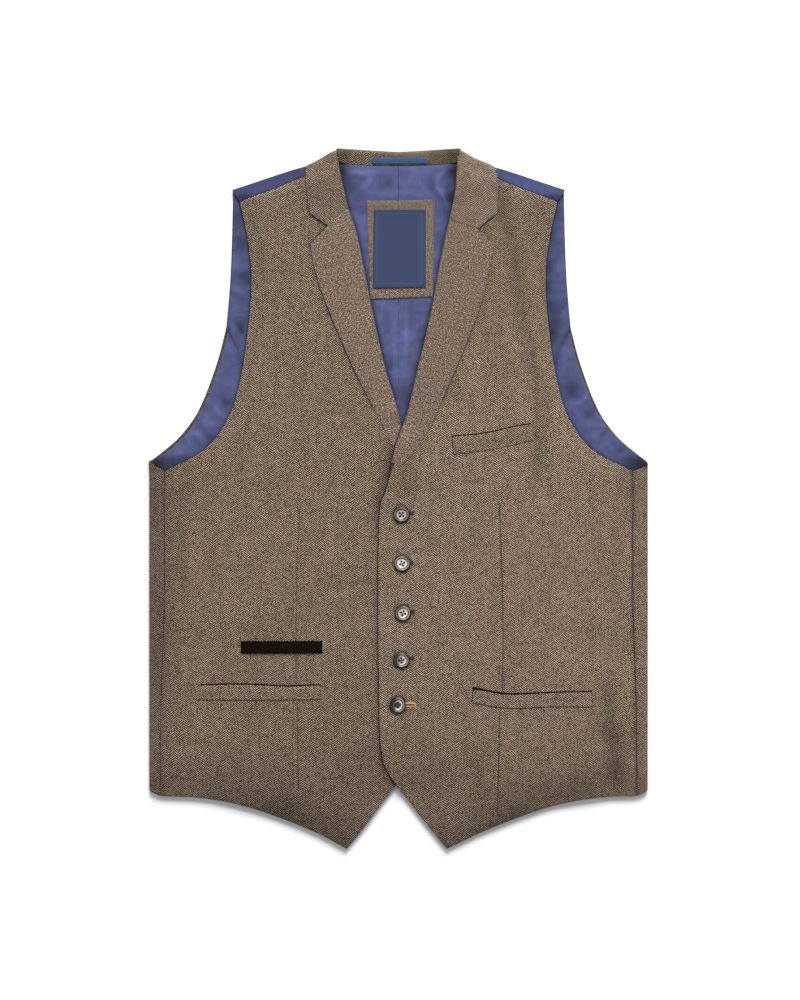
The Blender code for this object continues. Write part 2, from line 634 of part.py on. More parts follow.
def side_back(side):
    """A tweed side-back panel. It turns round the side fold and is seamed to the front on top."""
    fold_x = SIDE_FOLD_X - SIDE_FOLD_IN
    low, high = SIDE_BACK_HEM[-1][1], SIDE_BACK_ARMHOLE[0][1]
    edge = even_points(np.array([(fold_x, low), (fold_x, high)]), 13)
    outline = cut(
        (smooth_curve(SIDE_BACK_HEM, LONG), SEAM_ROOM), (edge, 0.0),
        (smooth_curve(SIDE_BACK_ARMHOLE, EDGE)[1:], SEAM_ROOM),
        (smooth_curve(SIDE_BACK_SEAM, LONG)[::-1], SEAM_ROOM),
    )
    run = run_of(outline, edge)
    edge = outline[run]
    end = even_points(np.array([(fold_x, SIDE_FOLD_TOP_WALL[0]), (fold_x, SIDE_FOLD_TOP_WALL[1])]), len(run))
    seam = even_points(smooth_curve(SIDE_SEAM, TIGHT)[::-1], len(run)) + np.array([SEAM_ROOM, 0.0])
    outward = np.tile(np.array([1.0, 0.0]), (len(run), 1))
    rows = fold_rows(edge, end, outward, np.full(len(run), SIDE_BACK_Z), front_z(end[:, 0], end[:, 1], side))
    rows += ruled_rows(end, seam, lambda x, y: front_z(x, y, side), 1)
    panel_object(
        f"side_back_{side}", outline, BACK_NET, lambda x, y: np.full(len(x), SIDE_BACK_Z), TWEED, TWEED_FINISH,
        strips=[(run, rows)], mirror=side == "right",
    )


def lining_back(side):
    """A half of the back's lining, with its centre seam. It stops inside the back's free edges."""
    shoulder = smooth_curve(SHOULDER_FOLD, EDGE)
    edge = shoulder + curve_normals(shoulder) * (SHOULDER_FOLD_IN + LINING_ROOM)
    outline = cut(
        (smooth_curve(BACK_HEM, LONG), LINING_HEM_ROOM), (smooth_curve(SIDE_BACK_SEAM, LONG)[1:], SEAM_ROOM),
        (smooth_curve(BACK_ARMHOLE[:-1] + [tuple(edge[-1])], LONG)[1:], LINING_ROOM), (edge[::-1], 0.0),
        (smooth_curve(NECK_SEAM[:-1], EDGE)[::-1], SEAM_ROOM),
        (centre_seam(BACK_HEM[0][1] + LINING_HEM_ROOM), SEAM_ROOM),
    )
    panel_object(
        f"lining_back_{side}", outline, BACK_NET, lining_z, LINING, LINING_FINISH,
        guides=lift_guides(), mirror=side == "right",
    )


def lining_side(side):
    """The lining of a side-back panel, up to the side fold."""
    fold_x = SIDE_FOLD_X - SIDE_FOLD_IN
    outline = cut(
        (smooth_curve(SIDE_BACK_HEM, LONG), LINING_HEM_ROOM),
        (smooth_curve([SIDE_BACK_HEM[-1], SIDE_BACK_ARMHOLE[0]], LONG)[1:], LINING_ROOM),
        (smooth_curve(SIDE_BACK_ARMHOLE, EDGE)[1:], LINING_ROOM),
        (smooth_curve(SIDE_BACK_SEAM, LONG)[::-1], SEAM_ROOM),
    )
    panel_object(
        f"lining_side_{side}", outline, BACK_NET, lining_z, LINING, LINING_FINISH, mirror=side == "right",
    )


def welt(name, row, finish):
    """A pocket welt, made from the points of the front that it is sewn on, moved out."""
    top = even_points(smooth_curve(row["top"], TIGHT), WELT_POINTS)
    bottom = even_points(smooth_curve(row["bottom"], TIGHT), WELT_POINTS)

    def height(x, y):
        return front_z(x, y, row["side"]) + TWEED / 2 + GAP + WELT / 2

    points = [(x, y, z) for (x, y), z in zip(bottom, height(bottom[:, 0], bottom[:, 1]))]
    faces = []
    add_strip(points, faces, range(WELT_POINTS), ruled_rows(bottom, top, height, 2))
    cloth(name, points, faces, WELT, finish, mirror=row["side"] == "right")


def neck_piece(name, corners, height, finish):
    """A four-sided piece on the lining or the stand, its middle surface at the height that a function gives."""
    low, high = (even_points(np.array(corners[edge]), 4) for edge in ("low", "high"))
    points = [(x, y, z) for (x, y), z in zip(low, height(low[:, 0], low[:, 1]))]
    faces = []
    add_strip(points, faces, range(4), ruled_rows(low, high, height, 8))
    cloth(name, points, faces, LABEL, finish)


def button(index, place):
    """A turned button with a dished face, a rounded rim and four sewing holes."""
    x, y = place
    name = f"button_{index}"
    mesh = bpy.data.meshes.new(name)
    profile = [(row["r"] * MM, 0.0, row["z"] * MM) for row in BUTTON_PROFILE]
    mesh.from_pydata(profile, [(i, i + 1) for i in range(len(profile) - 1)], [])
    made = bpy.data.objects.new(name, mesh)
    GARMENT.objects.link(made)
    made.data.materials.append(HORN_FINISH)
    turn = made.modifiers.new("turn", "SCREW")
    turn.steps = turn.render_steps = 18
    turn.use_merge_vertices = True
    turn.merge_threshold = 1e-5
    top = float(front_z(x, y, "left")) + TWEED / 2 + GAP
    made.location = (x * MM, y * MM, top * MM)
    holes = made.modifiers.new("holes", "BOOLEAN")
    holes.operation = "DIFFERENCE"
    holes.object = hole_cutter(f"{name}_holes", made.location)


def hole_pegs():
    """The mesh of four pegs on a square that every button's holes are cut with."""
    pegs = bmesh.new()
    for quarter in range(4):
        angle = math.radians(45 + 90 * quarter)
        spot = Vector((math.cos(angle), math.sin(angle), 0.0)) * BUTTON_HOLE_OUT * MM
        made = bmesh.ops.create_cone(
            pegs, cap_ends=True, segments=8, radius1=BUTTON_HOLE_R * MM, radius2=BUTTON_HOLE_R * MM, depth=0.02
        )
        bmesh.ops.translate(pegs, verts=made["verts"], vec=spot)
    mesh = bpy.data.meshes.new("button_holes")
    pegs.to_mesh(mesh)
    pegs.free()
    return mesh


def hole_cutter(name, place):
    cutter = bpy.data.objects.new(name, PEGS)
    CUTTERS.objects.link(cutter)
    cutter.location = place
    cutter.hide_render = True
    cutter.display_type = "WIRE"
    return cutter


def build():
    for side in ("left", "right"):
        front(side)
        lapel(side)
        collar_side(side)
        back(side)
        side_back(side)
        lining_back(side)
        lining_side(side)
    collar_back()
    for name, row in WELTS.items():
        welt(name, row, VELVET_FINISH if name == "welt_ticket" else TWEED_FINISH)
    on_lining = LINING / 2 + GAP + LABEL / 2
    neck_piece("label_patch", PATCH, lambda x, y: lining_z(x, y) + on_lining, LAPEL_FINISH)
    neck_piece("label", LABEL_CORNERS, lambda x, y: lining_z(x, y) + on_lining + LABEL + GAP, LABEL_FINISH)
    neck_piece("neck_tab", TAB, lambda x, y: np.full(len(x), FRONT_Z + TWEED / 2 + GAP + LABEL / 2), TAB_FINISH)
    for index, place in enumerate(BUTTON_PLACES, start=1):
        button(index, place)


bpy.context.scene.unit_settings.system = "METRIC"
for old in list(bpy.data.objects):
    bpy.data.objects.remove(old)
GARMENT = collection_for("suit_waistcoat")
CUTTERS = collection_for("cutters")
PEGS = hole_pegs()
TWEED_FINISH = material("tweed", TWEED_BROWN, 0.95)
LAPEL_FINISH = material("lapel_tweed", LAPEL_BROWN, 0.95)
SATIN_FINISH = material("satin", SATIN_BLUE, 0.45)
LINING_FINISH = material("lining", LINING_BLUE, 0.5)
VELVET_FINISH = material("velvet", VELVET_BLACK, 0.95)
LABEL_FINISH = material("label", LABEL_NAVY, 0.8)
TAB_FINISH = material("tab", TAB_BLUE, 0.6)
HORN_FINISH = material("horn", HORN_BROWN, 0.35)
build()
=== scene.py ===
"""Dresses the laid suit waistcoat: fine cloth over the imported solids, threads, floor, lights and camera.

Sizes are in millimetres until MM turns them into metres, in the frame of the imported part: X to the wearer's
left, Y from the hem to the neck, Z up. LEFT and RIGHT hold what differs between the wearer's sides. Their x,
and that of the shared outlines, counts outwards from the middle line. True x is the part's own.
"""

import math
from types import SimpleNamespace

import bmesh
import bpy
import numpy as np
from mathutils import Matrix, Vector, geometry, kdtree, noise


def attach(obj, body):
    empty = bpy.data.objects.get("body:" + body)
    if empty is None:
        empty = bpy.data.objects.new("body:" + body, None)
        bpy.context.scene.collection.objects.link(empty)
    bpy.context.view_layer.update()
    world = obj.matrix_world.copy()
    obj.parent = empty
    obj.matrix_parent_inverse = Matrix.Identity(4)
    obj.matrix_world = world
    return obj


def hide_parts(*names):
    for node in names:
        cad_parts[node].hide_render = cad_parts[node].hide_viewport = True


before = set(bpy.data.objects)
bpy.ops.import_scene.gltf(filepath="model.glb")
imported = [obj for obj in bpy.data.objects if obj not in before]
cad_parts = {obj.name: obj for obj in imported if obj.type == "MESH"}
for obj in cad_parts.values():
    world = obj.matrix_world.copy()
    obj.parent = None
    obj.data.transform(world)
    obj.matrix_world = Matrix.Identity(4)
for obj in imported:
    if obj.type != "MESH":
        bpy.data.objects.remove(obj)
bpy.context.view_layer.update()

MM = 0.001
UP = np.array([0.0, 1.0])
OUT = np.array([1.0, 0.0])

# Walls and gaps
TWEED = 2
SATIN = 1.2
LINING = 1
WELT = 1.4
LABEL = 1
GAP = 0.3
LAYER = TWEED + GAP

# Heights of middle surfaces
BACK_Z = SATIN / 2
SIDE_BACK_Z = TWEED / 2
LINING_Z = TWEED + GAP + LINING / 2
FRONT_Z = LINING_Z + LINING / 2 + GAP + TWEED / 2

# How far middle surfaces stay inside folds, seams and rims
SIDE_FOLD_IN = (FRONT_Z - SIDE_BACK_Z) / 2 + TWEED / 2
SHOULDER_FOLD_IN = (FRONT_Z - BACK_Z) / 2 + SATIN / 2
COLLAR_SHOULDER_IN = (FRONT_Z + 2 * LAYER - SIDE_BACK_Z) / 2 + TWEED / 2
SEAM_ROOM = GAP / 2 + 0.03
LINING_ROOM = 1.9
LINING_RIM = 2.9
LINING_HEM_ROOM = 8
ROLL_IN = TWEED / 2 + LAYER
ROLL_ROOM = TWEED + 0.9
ROLL_LIP = 0.9
# Over which length from its foot a front moves in under the roll, and how far below the neck point the
# collar's roll ends and over which length it fades
ROLL_FOOT = 18
ROLL_END, ROLL_FADE = 6, 20

SIDE_FOLD_X = 249
FOLD_X = SIDE_FOLD_X - SIDE_FOLD_IN
COLLAR_SPLIT_X = 59.8
CORNER_LENGTH = 12
STAND_UNDER = 0.045
STAND_RISE = 1.8
NECK_POINT = (60, 350.4)
SHOULDER_NECK = (64, 337.5)
SHOULDER_TIP = (166.5, 308.5)

# Distances between points: along outlines and coarser paths, inside shown cloth, inside hidden cloth
EDGE = 3
COARSE = 8
SHOWN = 3.2
HIDDEN = 6
SAME_POINT = 0.8
# The lattice's distances between rows and off the edge, in steps
LATTICE_ROW = 0.866
LATTICE_ROOM = 0.6
GUIDE_ROOM = 0.6
FOLD_STEPS = 9
ROLL_STEPS = 5
# How far the lines of finer points lie from darts, from edges laid on a front, and from the armhole's edge
DART_GUIDES = (-3.4, -1.7, -0.7, 0, 0.7, 1.7, 3.4)
EDGE_GUIDES = (-3.8, -2.4, -1.2, 0, 1.2, 2.4, 3.8)
ARMHOLE_GUIDES = (-4.2, -2.6, -1.4, -0.4, 1)

# Places on the outlines that both sides share
FRONT_ARMHOLE = [
    (158.8, 297), (151, 260), (147, 222), (149.6, 176), (158.5, 117), (169, 83), (192, 50.5), (234, 27),
]
SIDE_SEAM = [(234, 27), (233.5, -100), (237, -200), (238, -297.7)]
FRONT_HEM = [(238, -297.7), (198.5, -299.5), (158.5, -306.5), (118.5, -319.5), (78.5, -336)]
SHOULDER_SEAM = [(158.8, 297), (124, 308.9), (97, 320.2), (64, 330.5)]
SHOULDER_FOLD = [SHOULDER_NECK, (98, 330.4), SHOULDER_TIP]
BACK_HEM = [(0, -284), (80, -288), (156, -296)]
BACK_ARMHOLE = [(172.5, 171), (168.5, 218.5), (166.8, 260), SHOULDER_TIP]
SIDE_BACK_HEM = [(156, -296), (205, -296.8), (236, -296.5), (FOLD_X, -290)]
SIDE_BACK_ARMHOLE = [
    (FOLD_X, 39), (222.5, 58.5), (206, 78.5), (195.5, 98.5), (181, 138.5), (172.5, 171),
]
SIDE_BACK_SEAM = [(156, -296), (146, -180), (139, 0), (142, 60), (156, 135), (172.5, 171)]
NECK_SEAM = [(0, 332.2), (26, 332.8), (50, 334.4), SHOULDER_NECK]
COLLAR_TOP = [(0, 346.7), (26, 348.1), (44, 349.4), NECK_POINT]
COLLAR_BACK_EDGE = [(0, 304.5), (25, 305.5), (60, 311.5), (84, 321.5), (93.3, 329.6)]
# The lowest edge of both fronts together, in true x
CUTAWAY = [
    (48.5, -350.5), (29.1, -327), (9.9, -302.5), (-1.5, -287), (-4.8, -290), (-16.9, -305.3), (-34.7, -329.5),
    (-52, -350.5),
]

# Where the fronts are pushed up: whose, x, y, half-lengths along and across, turn in degrees, rise
SWELLINGS = [
    ("both", 100, 170, 95, 34, 100, 2.6), ("both", 120, -60, 120, 60, 90, 2.2),
    ("left", 184, -248, 55, 18, 96, 2.2), ("left", 110, -268, 55, 22, 160, 1.6),
    ("right", 150, -255, 60, 22, 100, 1.8),
]

# Creases of the fronts: half-width, rise (under 0 for a trough), how much painted shade a trough gets, path
LEFT_CREASES = [
    # the long trough from the collar down past the chest welt, and the ridge beside it
    (8, -1.7, 1.5, [
        (101.5, 323.5), (105.2, 276.5), (114, 246.5), (121.5, 183.5), (131.5, 141.5), (141.5, 101.5),
        (142, 71.5), (140.5, 38.5), (134.5, 0.5),
    ]),
    (5.5, 0.9, 1, [(149.5, 150), (153, 115), (153.5, 75)]),
    # lower side: a star of troughs above the hem
    (9, -1.6, 3, [(199, -218), (211, -237), (228, -251)]),
    (8, -2, 2.6, [(212, -246), (217.5, -272), (217, -300)]),
    (8, -1.2, 2.6, [(207.5, -178), (210.5, -200), (206, -222)]),
    (5, 0.9, 1, [(228, -190), (225, -215), (229, -232)]),
    (5, -0.7, 1, [(196.5, -112), (197.5, -160)]),
    (9, -0.8, 1, [(222, -40), (214, -88), (220, -130)]),
    (8, -0.9, 1, [(146, -296), (150, -312)]),
    (7, -0.9, 1, [(78, -268), (80.5, -300), (76, -330)]),
    # short pulls beside the buttons
    (5, -0.8, 1, [(33, 18), (37, 2), (42, -12)]),
    (5.5, -0.7, 1, [(22, -40), (38.5, -49), (62, -51)]),
    (5, -0.7, 1, [(17, -214), (18, -248)]),
    (5, -0.6, 1, [(24, -158), (48, -163), (70, -176)]),
    (6, -0.8, 3, [(7.5, 24), (10, 12), (14, 0)]),
    (6, -0.4, 4, [(30, 64), (20, 50), (11, 32)]),
]

RIGHT_CREASES = [
    (6, -1, 1, [(96, 65), (97, 30), (95, 0)]),
    (6, -0.7, 1, [(52, 100), (50, 84), (44, 66)]),
    (7, -0.8, 1, [(162, 68), (164, 45), (162, 10)]),
    (5, -0.8, 1, [(77, -24), (78.5, -50)]),
    (5.5, -0.8, 1, [(34, -88), (58, -89), (80, -87)]),
    (5, -0.8, 1, [(183, -247), (208, -245.5), (226, -249)]),
    (5, -0.8, 1, [(102, -216), (103, -235), (98, -262)]),
    (8, -0.9, 1, [(215, 10), (219, -60), (214, -120)]),
    (6, -0.6, 1, [(199, -20), (203, -74)]),
]

# Creases of the lining where it shows, in the armholes and in the neck: half-width, rise, path in true x
LINING_CREASES = [
    (2.4, 1.6, [(52, 331), (37.5, 315), (47, 296), (51, 280)]),
    (3.6, -1.2, [(57, 322), (49, 310), (54, 292)]),
    (3, -1, [(34, 326), (30, 312), (40, 300)]),
    (2.6, 1.1, [(-56, 328), (-38, 324), (-20, 328)]),
    (3, -1, [(-58, 318), (-48, 312), (-44, 300)]),
    (3, -1.1, [(-24, 304), (-14, 312), (-6, 324)]),
    (2.6, 1, [(-42, 302), (-32, 312), (-22, 326)]),
    (2, 1, [(7.5, 198), (7, 150), (4, 112)]),
    (2, 1, [(-5.5, 198), (-5, 150), (-2, 114)]),
    (1.8, -0.9, [(13.5, 192), (12, 160)]),
    (2.4, 1, [(-20, 195), (-17, 165), (-12, 140)]),
    (2.6, 0.9, [(-168, 214), (-160, 204), (-151, 205)]),
    (2.6, -1, [(-169, 226), (-158, 220), (-151, 224)]),
    (2.8, -1.1, [(-168, 180), (-160, 172), (-153, 160)]),
    (2.6, 0.9, [(-190, 96), (-177, 84), (-172, 74)]),
    (3, -1.1, [(-183, 108), (-172, 94), (-163, 92)]),
    (3, 0.9, [(-210, 68), (-198, 58), (-192, 47)]),
    (3.2, -1, [(-203, 76), (-190, 62), (-182, 56)]),
    (3, 0.9, [(-232, 46), (-216, 44), (-204, 44)]),
    (2.8, -0.9, [(167, 250), (158, 238), (152, 236)]),
    (2.6, 0.9, [(169, 238), (160, 226), (152, 222)]),
    (3, -1.2, [(171, 200), (160, 186), (153, 186)]),
    (3.2, -1.3, [(187, 124), (176, 110), (168, 96)]),
    (2.6, 1.1, [(193, 108), (184, 96), (174, 88)]),
    (3, -1.1, [(205, 92), (192, 84), (186, 70)]),
    (3, 1, [(213, 74), (202, 66), (194, 56)]),
    (2.8, -1, [(231, 52), (220, 46), (214, 38)]),
]
# Painted shade on the lining, and painted light where the share is under 0, in true x: x, y, reach, share
LINING_PAINTED_SHADES = [
    (56, 327, 9, 0.9), (51, 300, 6, 0.75), (47, 284, 5, 0.4), (-57, 328, 8, 0.85), (-52, 312, 6, 0.4),
    (58, 306, 5, 0.5), (-44, 308, 8, 0.2), (-12, 314, 8, 0.2), (34, 316, 6, 0.2), (20, 322, 9, -0.12),
    (-28, 318, 9, -0.1), (-163, 282, 8, 0.4), (-158, 256, 8, 0.4), (-153, 221, 6, 0.6), (-163, 236, 9, -0.1),
    (-158, 170, 5, 0.65), (-166, 190, 9, -0.12), (-174, 94, 7, 0.35), (-189, 57, 7, 0.35),
    (-178, 85, 6, -0.2),
    (-191, 72, 6, -0.22), (-208, 58, 7, -0.15), (-237, 33, 9, 0.6), (-225, 33, 7, 0.5), (-213, 40, 5, 0.3),
    (156, 284, 7, 0.5), (152, 262, 6, 0.4), (151, 231, 6, 0.6), (149, 212, 6, 0.55), (152, 194, 6, 0.5),
    (154, 166, 8, 0.75), (156, 182, 7, 0.4), (163, 148, 8, -0.1), (171, 111, 7, 0.5), (179, 106, 6, 0.35),
    (192, 86, 6, 0.3), (205, 66, 6, 0.25), (184, 118, 8, -0.12), (228, 37, 10, 0.35), (237, 33, 9, 0.6),
    (8, 104, 11, 0.5), (25, 160, 8, 0.4), (-22, 150, 8, 0.4), (14, 188, 7, 0.25), (-12, 178, 7, 0.3),
    (2, 160, 8, -0.2), (4, 130, 7, -0.2), (16, 132, 6, 0.45), (-9, 132, 4, 0.4), (-3, 176, 4, -0.2),
    (10, 168, 4, -0.2), (-14, 148, 4, -0.15), (38, 244, 5, -0.25), (37, 222, 5, -0.2), (42, 262, 4, 0.35),
    (-36, 232, 5, -0.15), (-243, 34, 5, 0.4), (243, 34, 5, 0.4),
]
# Painted shade, and painted light where the share is under 0, of the same kind on the fronts
FRONT_PAINTED_SHADES = [
    (38, -272, 48, 0.13), (-36, -262, 58, 0.13), (75, -250, 30, 0.06), (-150, -205, 55, 0.08),
    (-214, 42, 34, 0.21), (-244, -240, 45, -0.18), (222, 24, 26, 0.2), (2, 18, 24, 0.18),
    (212, -222, 24, 0.14),
    (214, -272, 18, 0.16), (110, -300, 18, -0.12),
]

# What differs between the sides: the way that x runs, a shift along the cloth that gives each side its own
# grain, rooms, threads, how light each cloth is painted for how the light falls on that side, the painted
# shade as a share or as (share, reach) pairs, and the places of the lines
LEFT = SimpleNamespace(
    name="left", way=1, grain_shift=0, creases=LEFT_CREASES, dart_deep=1.1, fold_top=(-294, 31.5),
    seam_room=SEAM_ROOM, gorge_room=SEAM_ROOM, low_rim=0.9, seam_thread=0.34, dart_thread=0.34,
    light=1, collar_light=1.02, panel_painted_light=0.93, satin_light=1.32,
    shoulder_shade=0.14, side_shade=0.03, corner_shade=(0.85, 4.5), hem_shades=((0.38, 43), (0.16, 115)),
    dart_shade=(0.55, 0.8), seam_shade=(0.4, 0.8), edge_shade=(0.16, 1.5), edge_wide=(0.07, 7),
    notch_shade=(0.224, 1.5),
    edge=[
        (48.5, -350.5), (29.1, -327), (9.9, -302.5), (-1.5, -288), (-10.5, -273.5), (-15, -264.5),
        (-17, -253.5), (-19, -226.5), (-19.3, -21.5), (-17.5, -4), (-13.5, 5.1), (-9.9, 17.5),
    ],
    roll=[
        (-9.9, 17.5), (-7.2, 35.5), (-2.8, 53.5), (5.3, 75.5), (9.5, 89), (17.5, 123.5), (27, 162.5),
        (35.2, 201.5), (43.3, 246.5), (50.5, 278), (56.5, 307.5), (58.2, 333.5), NECK_POINT,
    ],
    lapel=[
        (95.5, 252), (91.3, 229.7), (83.1, 195), (68.8, 156.5), (44.5, 99.1), (32.1, 70.1), (10.5, 40.5),
        (1.5, 30),
    ],
    foot=[(1.5, 30), (-2.2, 33)],
    notch=(79, 268.8),
    gorge=(50.5, 278),
    corner=(97.9, 284.6),
    collar=[(97.9, 284.6), (98.9, 288), (99.2, 303), (99.1, 316), (98.6, 322), (99, 328.6)],
    collar_top=[NECK_POINT, (74.6, 341.2), (91.1, 334), (99, 328.6)],
    darts=[
        [(100.5, -5.5), (102.8, -61.5), (104.5, -128.5), (103.8, -190.5)],
        [(101.1, -214), (99.3, -289.5), (98.8, -318)],
    ],
)
RIGHT = SimpleNamespace(
    name="right", way=-1, grain_shift=520, creases=RIGHT_CREASES, dart_deep=0.4, fold_top=(-294, 35),
    seam_room=0.03, gorge_room=-0.12, low_rim=2.9, seam_thread=0.3, dart_thread=0.24,
    light=0.912, collar_light=0.86, panel_painted_light=0.97, satin_light=1.04,
    shoulder_shade=0.05, side_shade=0.3, corner_shade=(0, 4.5), hem_shades=((0.36, 46), (0.15, 115)),
    dart_shade=(0.2, 0.8), seam_shade=(0.1, 0.8), edge_shade=(0.12, 1.5), edge_wide=(0.06, 7),
    notch_shade=(0.72, 1.5),
    edge=[
        (52, -350.5), (34.7, -329.5), (16.9, -305.3), (4.8, -290), (-5, -277), (-12, -250), (-14, -226),
        (-14, -21.5), (-11, 10), (-7, 45), (-3, 73),
    ],
    roll=[
        (-3, 73), (4.1, 100.5), (9.5, 117.5), (15.5, 139.9), (28.9, 201.5), (42.2, 266.5), (50, 290),
        (55.5, 313.5), (59.5, 333.5), NECK_POINT,
    ],
    lapel=[
        (88.1, 253), (85, 233.8), (78.9, 211.5), (68.7, 184.8), (44.2, 127.7), (29.9, 99.1), (20.5, 80.1),
        (11.5, 63.1), (4.2, 51.5),
    ],
    foot=[(4.2, 51.5), (0.8, 62), (-2.2, 73)],
    notch=(70.7, 272.2),
    gorge=(50, 290),
    corner=(88.1, 283.8),
    collar=[(88.1, 283.8), (89.1, 287.5), (91.2, 303), (92.4, 318), (93.3, 331.6)],
    collar_top=[NECK_POINT, (72.2, 343.4), (82.5, 337.2), (90.8, 332.7), (93.3, 331.6)],
    darts=[
        [(98, -5.5), (101, -60), (102, -128), (102, -184)],
        [(101, -206), (100, -290)],
    ],
)

# Pocket welts: the half-width of the dark tube painted as the shadow in the mouth and how it narrows, how
# proud the lower edge stands
WELTS = [
    SimpleNamespace(
        name="welt_chest", side=LEFT, mouth=0.85, taper=0, proud=0, stitch=0.38,
        top=[(53.9, 61.5), (84.5, 64.5), (112.5, 70.5), (131.5, 74.1)],
        bottom=[(55.5, 44), (81.5, 47), (111.2, 52.7), (133.9, 58)],
    ),
    SimpleNamespace(
        name="welt_lower_left", side=LEFT, mouth=1.6, taper=0.45, proud=0.5, stitch=0.5,
        top=[(75.1, -189.9), (106.5, -195.5), (158.5, -193.8), (192.2, -193.2)],
        bottom=[(74, -203.8), (106.5, -209), (160.5, -207.5), (193.8, -208.1)],
    ),
    SimpleNamespace(
        name="welt_lower_right", side=RIGHT, mouth=1.05, taper=0, proud=0, stitch=0.46,
        top=[(78.1, -186.5), (113.5, -187.5), (152.5, -185.8), (196.5, -186.5)],
        bottom=[(76.5, -200.5), (131.5, -201.2), (170, -201), (201.7, -201)],
    ),
    SimpleNamespace(
        name="welt_ticket", side=RIGHT, mouth=0, taper=0, proud=1, stitch=0,
        top=[(75.9, -142.9), (116, -143), (157.4, -143.3)],
        bottom=[(75.9, -154.4), (116, -154.5), (157.4, -154.7)],
    ),
]

# Buttons from the top: place, turn in degrees, and how light each is painted, with painted shade at its left
# and in its middle
BUTTONS = [
    ((3, -16), 4, (0.6, 0.2, 0)), ((3.7, -64.8), -22, (1, 0, 0)), ((4.5, -114.3), 27, (0.95, 0.4, 0)),
    ((2.9, -161.2), -38, (0.95, 0.85, 0.4)), ((-0.7, -205.8), 45, (1, 0.9, 0.85)),
]
BUTTON_PLACES = [place for place, _, _ in BUTTONS]
BUTTON_HOLE_R = 1.15
BUTTON_HOLE_OUT = 2.25
BUTTON_PROFILE = [
    (0, 2), (2.6, 1.95), (4.3, 2.1), (5, 2.45), (5.5, 3), (6.1, 3.3), (6.9, 3.3), (7.6, 2.95), (8, 2.2),
    (7.9, 1.5), (7.2, 0.7), (6.2, 0.2), (5, 0), (0, 0),
]
# Buttonholes: x from and to, y, half-widths of the slit and of the whipping, thread
BUTTONHOLES = [
    (6, 13.2, -14.2, 0.4, 1.3, "dark"), (6, 12.9, -63.8, 0.4, 1.2, "dark"),
    (6, 14.4, -112.8, 0.4, 1.3, "dark"),
    (6, 13.9, -159.2, 0.4, 1.3, "dark"), (2, 15.4, -205.8, 0.75, 2.1, "tan"),
]
WHIP_STEP = 0.62
# From where to where the bar's threads run, past the slit's outer end
BAR = (0.1, 1.7)
WHIP_R = 0.33
BUTTON_THREAD_R = 0.2
# A button's thread: the height of its holes' tops, and how far down it goes in them
THREAD_LOW, THREAD_DOWN = 1.6, 1.9
STITCH, STITCH_RISE = 2.1, 0.15
# A welt: the distance of its points, how much of its height its ends have and over how many points, and
# how far out, how high and how wide the tufts of the velvet one's upper edge are
WELT_STEP, WELT_END, WELT_END_POINTS = 1.6, 0.45, 3
TUFT_OUT, TUFTS, TUFT_WIDE = 1.1, 1.3, 1.25
# Rises of its threads over the cloth at their start, middle and end, on the lips and in the bar
LIP_RISES = (0.28, 0.42, 0.05)
BAR_RISES = (0.25, 0.4, 0.05)
# A thread's rounded end: how far out and how wide, in radii
TUBE_CAP = ((0.6, 0.75), (1, 0.1))
# Low and high edges of what is sewn at the neck
PATCH = [(-28, 199.4), (34.4, 201.8)], [(-32, 297.5), (36.1, 298.5)]
LABEL_CORNERS = [(-25.9, 210.4), (27.3, 211)], [(-24.7, 288.5), (27.3, 289)]
TAB = [(-26.5, 334.6), (29, 334.6)], [(-26.5, 340.4), (29, 340.4)]

# How the fronts swell: their rise and reach off free edges, off the hem, at seams and round buttons, and
# slow waves as (size, rise)
PUFF, PUFF_REACH, PUFF_EDGE = 2.6, 18, 20
HEM_PUFF, HEM_PUFF_REACH = 4, 60
SEAM_DIP, SEAM_DIP_WIDE, SEAM_DIP_EDGE = 0.5, 2, 6
BUTTON_DIMPLE, BUTTON_DIMPLE_WIDE, BUTTON_DIMPLE_FLAT = 0.8, 9, 1.15
UNEVEN = ((46, 1.1), (18, 0.45))
CREASE_FOLDS = 1.9
LINING_FOLDS = 1.3
CRINKLES = (15, 10.5, 9)
CRINKLE_WIDE = 0.17
CRINKLE_RISE = 0.7
# How much painted light the crinkles' crests put on the lining
CRINKLE_PAINTED_LIGHT = 0.2
DART_WIDE, DART_END = 1.5, 16
# A crease's height at its ends, and how far in it grows: at most this far, and this share of its length
CREASE_END, CREASE_GROWS = 0.25, (28, 0.45)
# Over which length creases grow from the lap's edge, how far past the middle line those of the under
# front reach, and where the over front comes down off the under one
LAP_CALM, LAP_HIDDEN, LAP_RAMP = 16, 6, (1.6, 18)
# How far over the front a lapel lies at its foot, in layers, and over which height it comes to a full one
FOOT_SHARE, FOOT_RAMP = 0.12, (2, 85)
# Where layers come down off the collar's fall, below its edge and out to its sides
FALL_RAMP, FALL_SIDES = (3, 26), (98, 128)
# How far from what covers it the lining starts to pucker, and how low it may sink
PUCKER_RAMP, PUCKER_LOW = (0.5, 7), 0.25
# How far up the stand rises from the seam to its fold
STAND_WIDE = 10.2

# Painted shade along lines of the garment, and darker seams, as (share, reach) pairs of what they take of the
# colour's lightness
BUTTON_SHADE, BUTTON_SHADE_R = (0.6, 1.6), 8.2
UNDER_BUTTON_SHADE, UNDER_BUTTON = 0.9, (7, 4.5)
